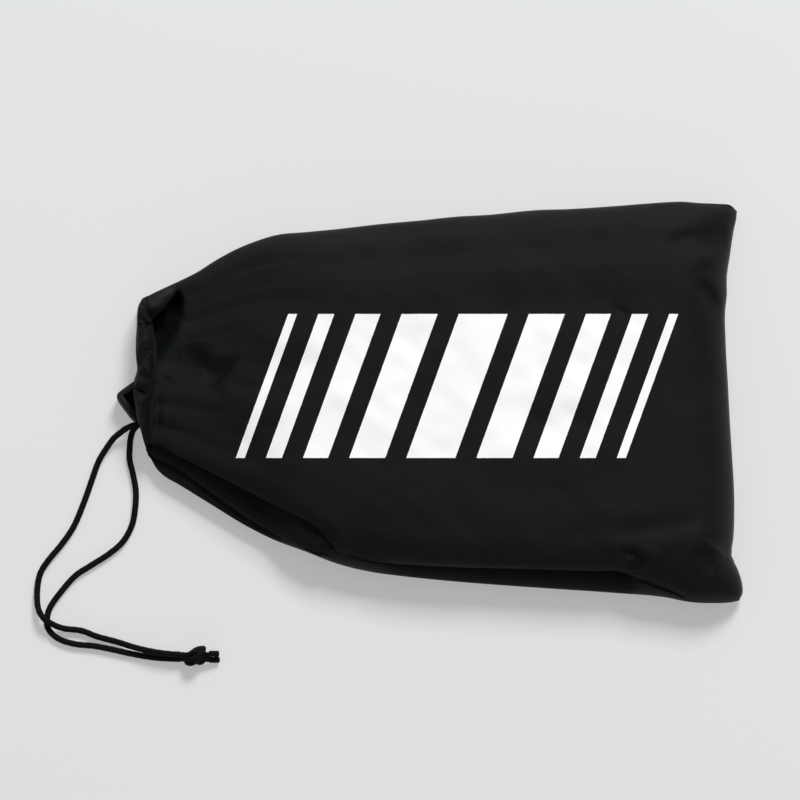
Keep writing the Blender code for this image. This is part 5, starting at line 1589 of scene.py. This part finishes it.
def make_vent():
    """Knitted mesh: two sets of wavy threads, and a bound edge."""
    low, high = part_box("vent_mesh")
    cx, cy, cz = ((low[k] + high[k]) / 2 for k in range(3))
    radius = (high[0] - low[0]) / 2
    inner = radius - 2.2 * MM
    pieces = []
    pitch = 2.4 * MM
    count = int(inner // pitch)
    for turn in (30, 150):
        c, s = math.cos(math.radians(turn)), math.sin(math.radians(turn))
        for k in range(-count, count + 1):
            off = k * pitch
            half = math.sqrt(max(inner**2 - off**2, 0))
            t = np.linspace(-half, half, max(int(half / (0.6 * MM)), 4))
            phase = t / pitch * 2 * math.pi + k * math.pi
            across = off + 0.42 * MM * np.sin(phase)
            z = cz + 0.16 * MM * np.cos(phase + (turn == 30) * math.pi)
            line = np.stack([cx + t * c - across * s, cy + t * s + across * c, z], 1)
            pieces.append(tube("vent_thread", line, 0.28 * MM, 5))
    edge = []
    for a in np.linspace(0, 2 * math.pi, EDGE_STEPS, endpoint=False):
        for b in np.linspace(0, 2 * math.pi, EDGE_SIDES, endpoint=False):
            r = radius - 2.0 * MM + 1.95 * MM * math.cos(b)
            fat = 0.56 * MM * (1 + 0.05 * math.sin(a * 40))
            rise = fat * math.copysign(abs(math.sin(b)) ** 0.6, math.sin(b))
            edge.append((cx + r * math.cos(a), cy + r * math.sin(a), cz + rise))
    faces = grid_faces(EDGE_STEPS, EDGE_SIDES, wrap=True)
    last = (EDGE_STEPS - 1) * EDGE_SIDES
    faces += [(last + j, last + (j + 1) % EDGE_SIDES, (j + 1) % EDGE_SIDES, j) for j in range(EDGE_SIDES)]
    pieces.append(mesh_object("vent_edge", edge, faces, np.zeros((len(edge), 2))))
    made = fix_normals(join("vent_net", pieces))
    return dress(made, "mesh"), radius


vent, vent_radius = make_vent()
stay(vent, "bag", "canopy_mesh", "vent_mesh")

LINE = 1.6 * MM
HANK_TURNS, HANK_LAYERS = 6, 5
HANK_ROUND = 0.15


def make_hank():
    """The suspension lines, wound together in long turns, drawn in a little at their tie."""
    low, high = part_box("line_hank")
    tie_low, tie_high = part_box("hank_tie")
    cx, cy = (low[0] + high[0]) / 2, (low[1] + high[1]) / 2
    waist = (tie_low[1] + tie_high[1]) / 2
    run = (high[1] - low[1] - (high[0] - low[0])) / 2
    rng = np.random.default_rng(17)
    outer = (high[0] - low[0]) / 2 - LINE / 2 - 0.15 * MM
    pitch = 1.72 * MM
    path = []
    for layer in range(HANK_LAYERS):
        z = low[2] + LINE / 2 + layer * LINE
        order = range(HANK_TURNS) if layer % 2 == 0 else range(HANK_TURNS - 1, -1, -1)
        for turn in order:
            radius = outer - pitch * turn
            wobble, phase = rng.uniform(0.2, 0.7) * MM, rng.uniform(0, 6)
            for share in np.linspace(0, 1, 40, endpoint=False):
                a = share * 2 * math.pi
                x = radius * math.cos(a)
                y = radius * math.sin(a) + min(max(run * math.sin(a) / HANK_ROUND, -run), run)
                inward = wobble * math.sin(3 * a + phase)
                bow = 0.12 * MM * math.sin(5 * a + phase)
                path.append((cx + x * (1 - 0.02 * inward / MM), cy + y, z + bow))
    line = np.array(path)
    narrow = 1 - 0.17 * np.exp(-(((line[:, 1] - waist) / (14 * MM)) ** 2))
    line[:, 0] = cx + (line[:, 0] - cx) * narrow
    return dress(tube("suspension_lines", fill(line, 6 * MM), LINE / 2, 9), "line")


stay(make_hank(), "bag", "lines", "line_hank")


def make_tie():
    low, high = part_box("hank_tie")
    half = 0.3 * MM
    cx = (low[0] + high[0]) / 2
    reach = (high[0] - low[0]) / 2 * 0.86 - half
    bottom, top = low[2] + half, high[2] - half
    path = round_loop(cx - reach, cx + reach, bottom, top, 1.5 * MM)
    y = (low[1] + high[1]) / 2
    piece = strap("hank_tie_loop", path, y, 12 * MM, 0.6 * MM, "elastic", plane="xz", closed=True)
    lines = [
        sewn((cx + shift, y - 5 * MM, top + half), (cx + shift, y + 5 * MM, top + half))
        for shift in (-4.0 * MM, 4.0 * MM)
    ]
    return piece, stitches("hank_tie_stitches", lines)


tie, tie_sewing = make_tie()
stay(tie, "bag", "elastic", "hank_tie")
stay(tie_sewing, "bag", "elastic")


# The CAD's own hard parts, with their finish

for node, look in (
    ("buckle_socket", "plastic"),
    ("buckle_tongue", "plastic"),
    ("tri_glide", "plastic"),
    ("belt_d_ring", "steel"),
    ("line_ring", "steel"),
):
    for slot in bpy.data.objects[node].material_slots:
        slot.material = MATERIALS[look]


# Print: a plain field of slanted stripes where the photograph has its print

STRIPE_WIDTHS_PX = [9, 16, 25, 36, 49, 36, 25, 16, 9]
PRINT_LEFT_PX, PRINT_RIGHT_PX = 262.0, 652.0
PRINT_TOP_PX, PRINT_BOTTOM_PX = 314.0, 458.0
PRINT_SLANT = math.tan(math.radians(20))
PRINT_STEP_PX = 1.5
EDGE_WEAR_PX = 0.10
INK = 0.11 * MM


def make_print():
    graph = bpy.context.evaluated_depsgraph_get()
    tree = BVHTree.FromObject(front_cloth, graph)
    rng = np.random.default_rng(23)
    gap = (PRINT_RIGHT_PX - PRINT_LEFT_PX - sum(STRIPE_WIDTHS_PX)) / (len(STRIPE_WIDTHS_PX) - 1)
    middle = (PRINT_TOP_PX + PRINT_BOTTOM_PX) / 2
    points, faces, uv = [], [], []
    left = PRINT_LEFT_PX
    for width in STRIPE_WIDTHS_PX:
        across = max(int(round(width / PRINT_STEP_PX)), 4)
        down = int(round((PRINT_BOTTOM_PX - PRINT_TOP_PX) / PRINT_STEP_PX))
        first = len(points)
        for i in range(down + 1):
            py = lerp(PRINT_TOP_PX, PRINT_BOTTOM_PX, i / down)
            for j in range(across + 1):
                px = left + width * j / across + (middle - py) * PRINT_SLANT
                if j in (0, across):
                    px += rng.uniform(-EDGE_WEAR_PX, EDGE_WEAR_PX)
                y = py + (rng.uniform(-EDGE_WEAR_PX, EDGE_WEAR_PX) if i in (0, down) else 0)
                direction = at_pixel(px, y, 0.03) - EYE
                direction /= np.linalg.norm(direction)
                hit, normal = tree.ray_cast(Vector(EYE), Vector(direction))[:2]
                if normal.dot(Vector(direction)) > 0:
                    normal = -normal
                spot = hit + normal * INK
                points.append(tuple(spot))
                uv.append((spot.x, spot.y))
        faces.extend(grid_faces(down + 1, across + 1, start=first))
        left += width + gap
    made = mesh_object("front_print", points, faces, uv)
    if made.data.polygons[0].normal.z < 0:
        made.data.flip_normals()
    return dress(made, "ink")


front_print = bend(make_print(), "black_cloth")


# Studio

FLOOR_HALF = 3
FLOOR_Z = -0.0002
BACKDROP_SHARE = 0.45


def make_studio():
    floor = mesh_object(
        "studio_floor",
        [(x * FLOOR_HALF, y * FLOOR_HALF, FLOOR_Z) for x, y in ((-1, -1), (1, -1), (1, 1), (-1, 1))],
        [(0, 1, 2, 3)],
        flat=True,
    )
    n = Nodes("studio_floor")
    n.set(Base_Color=(0.775, 0.790, 0.790), Roughness=0.9, Specular_IOR_Level=0.1)
    # The camera, and gloss, see the floor partly as an even backdrop, which evens out the lamps' falloff
    paths = n.node("ShaderNodeLightPath")
    seen = n.math("MAXIMUM", paths.outputs["Is Camera Ray"], paths.outputs["Is Glossy Ray"])
    seen = n.math("MAXIMUM", seen, paths.outputs["Is Transmission Ray"])
    even = n.node("ShaderNodeEmission")
    even.inputs["Color"].default_value = (0.725, 0.740, 0.740, 1)
    mix = n.node("ShaderNodeMixShader")
    n.put(mix.inputs[0], n.times(seen, BACKDROP_SHARE))
    n.put(mix.inputs[1], n.shader.outputs[0])
    n.put(mix.inputs[2], even.outputs[0])
    n.put(n.tree.nodes["Material Output"].inputs["Surface"], mix.outputs[0])
    floor.data.materials.append(n.material)
    world = bpy.data.worlds.new("studio")
    world.use_nodes = True
    bpy.context.scene.world = world
    back = world.node_tree.nodes["Background"]
    back.inputs["Color"].default_value = (1, 1, 1, 1)
    back.inputs["Strength"].default_value = 0.29
    for name, place, size, energy in (
        ("key", (1.1, 3.0, 3.2), 1.5, 205.0),
        ("front", (-0.3, -2.6, 0.6), 1.6, 10.0),
    ):
        data = bpy.data.lights.new(name, "AREA")
        data.size = size
        data.energy = energy
        turn = (-Vector(place)).to_track_quat("-Z", "Y").to_matrix().to_4x4()
        link(name, data).matrix_world = Matrix.Translation(Vector(place)) @ turn
    bpy.context.scene.view_settings.view_transform = "Standard"


make_studio()
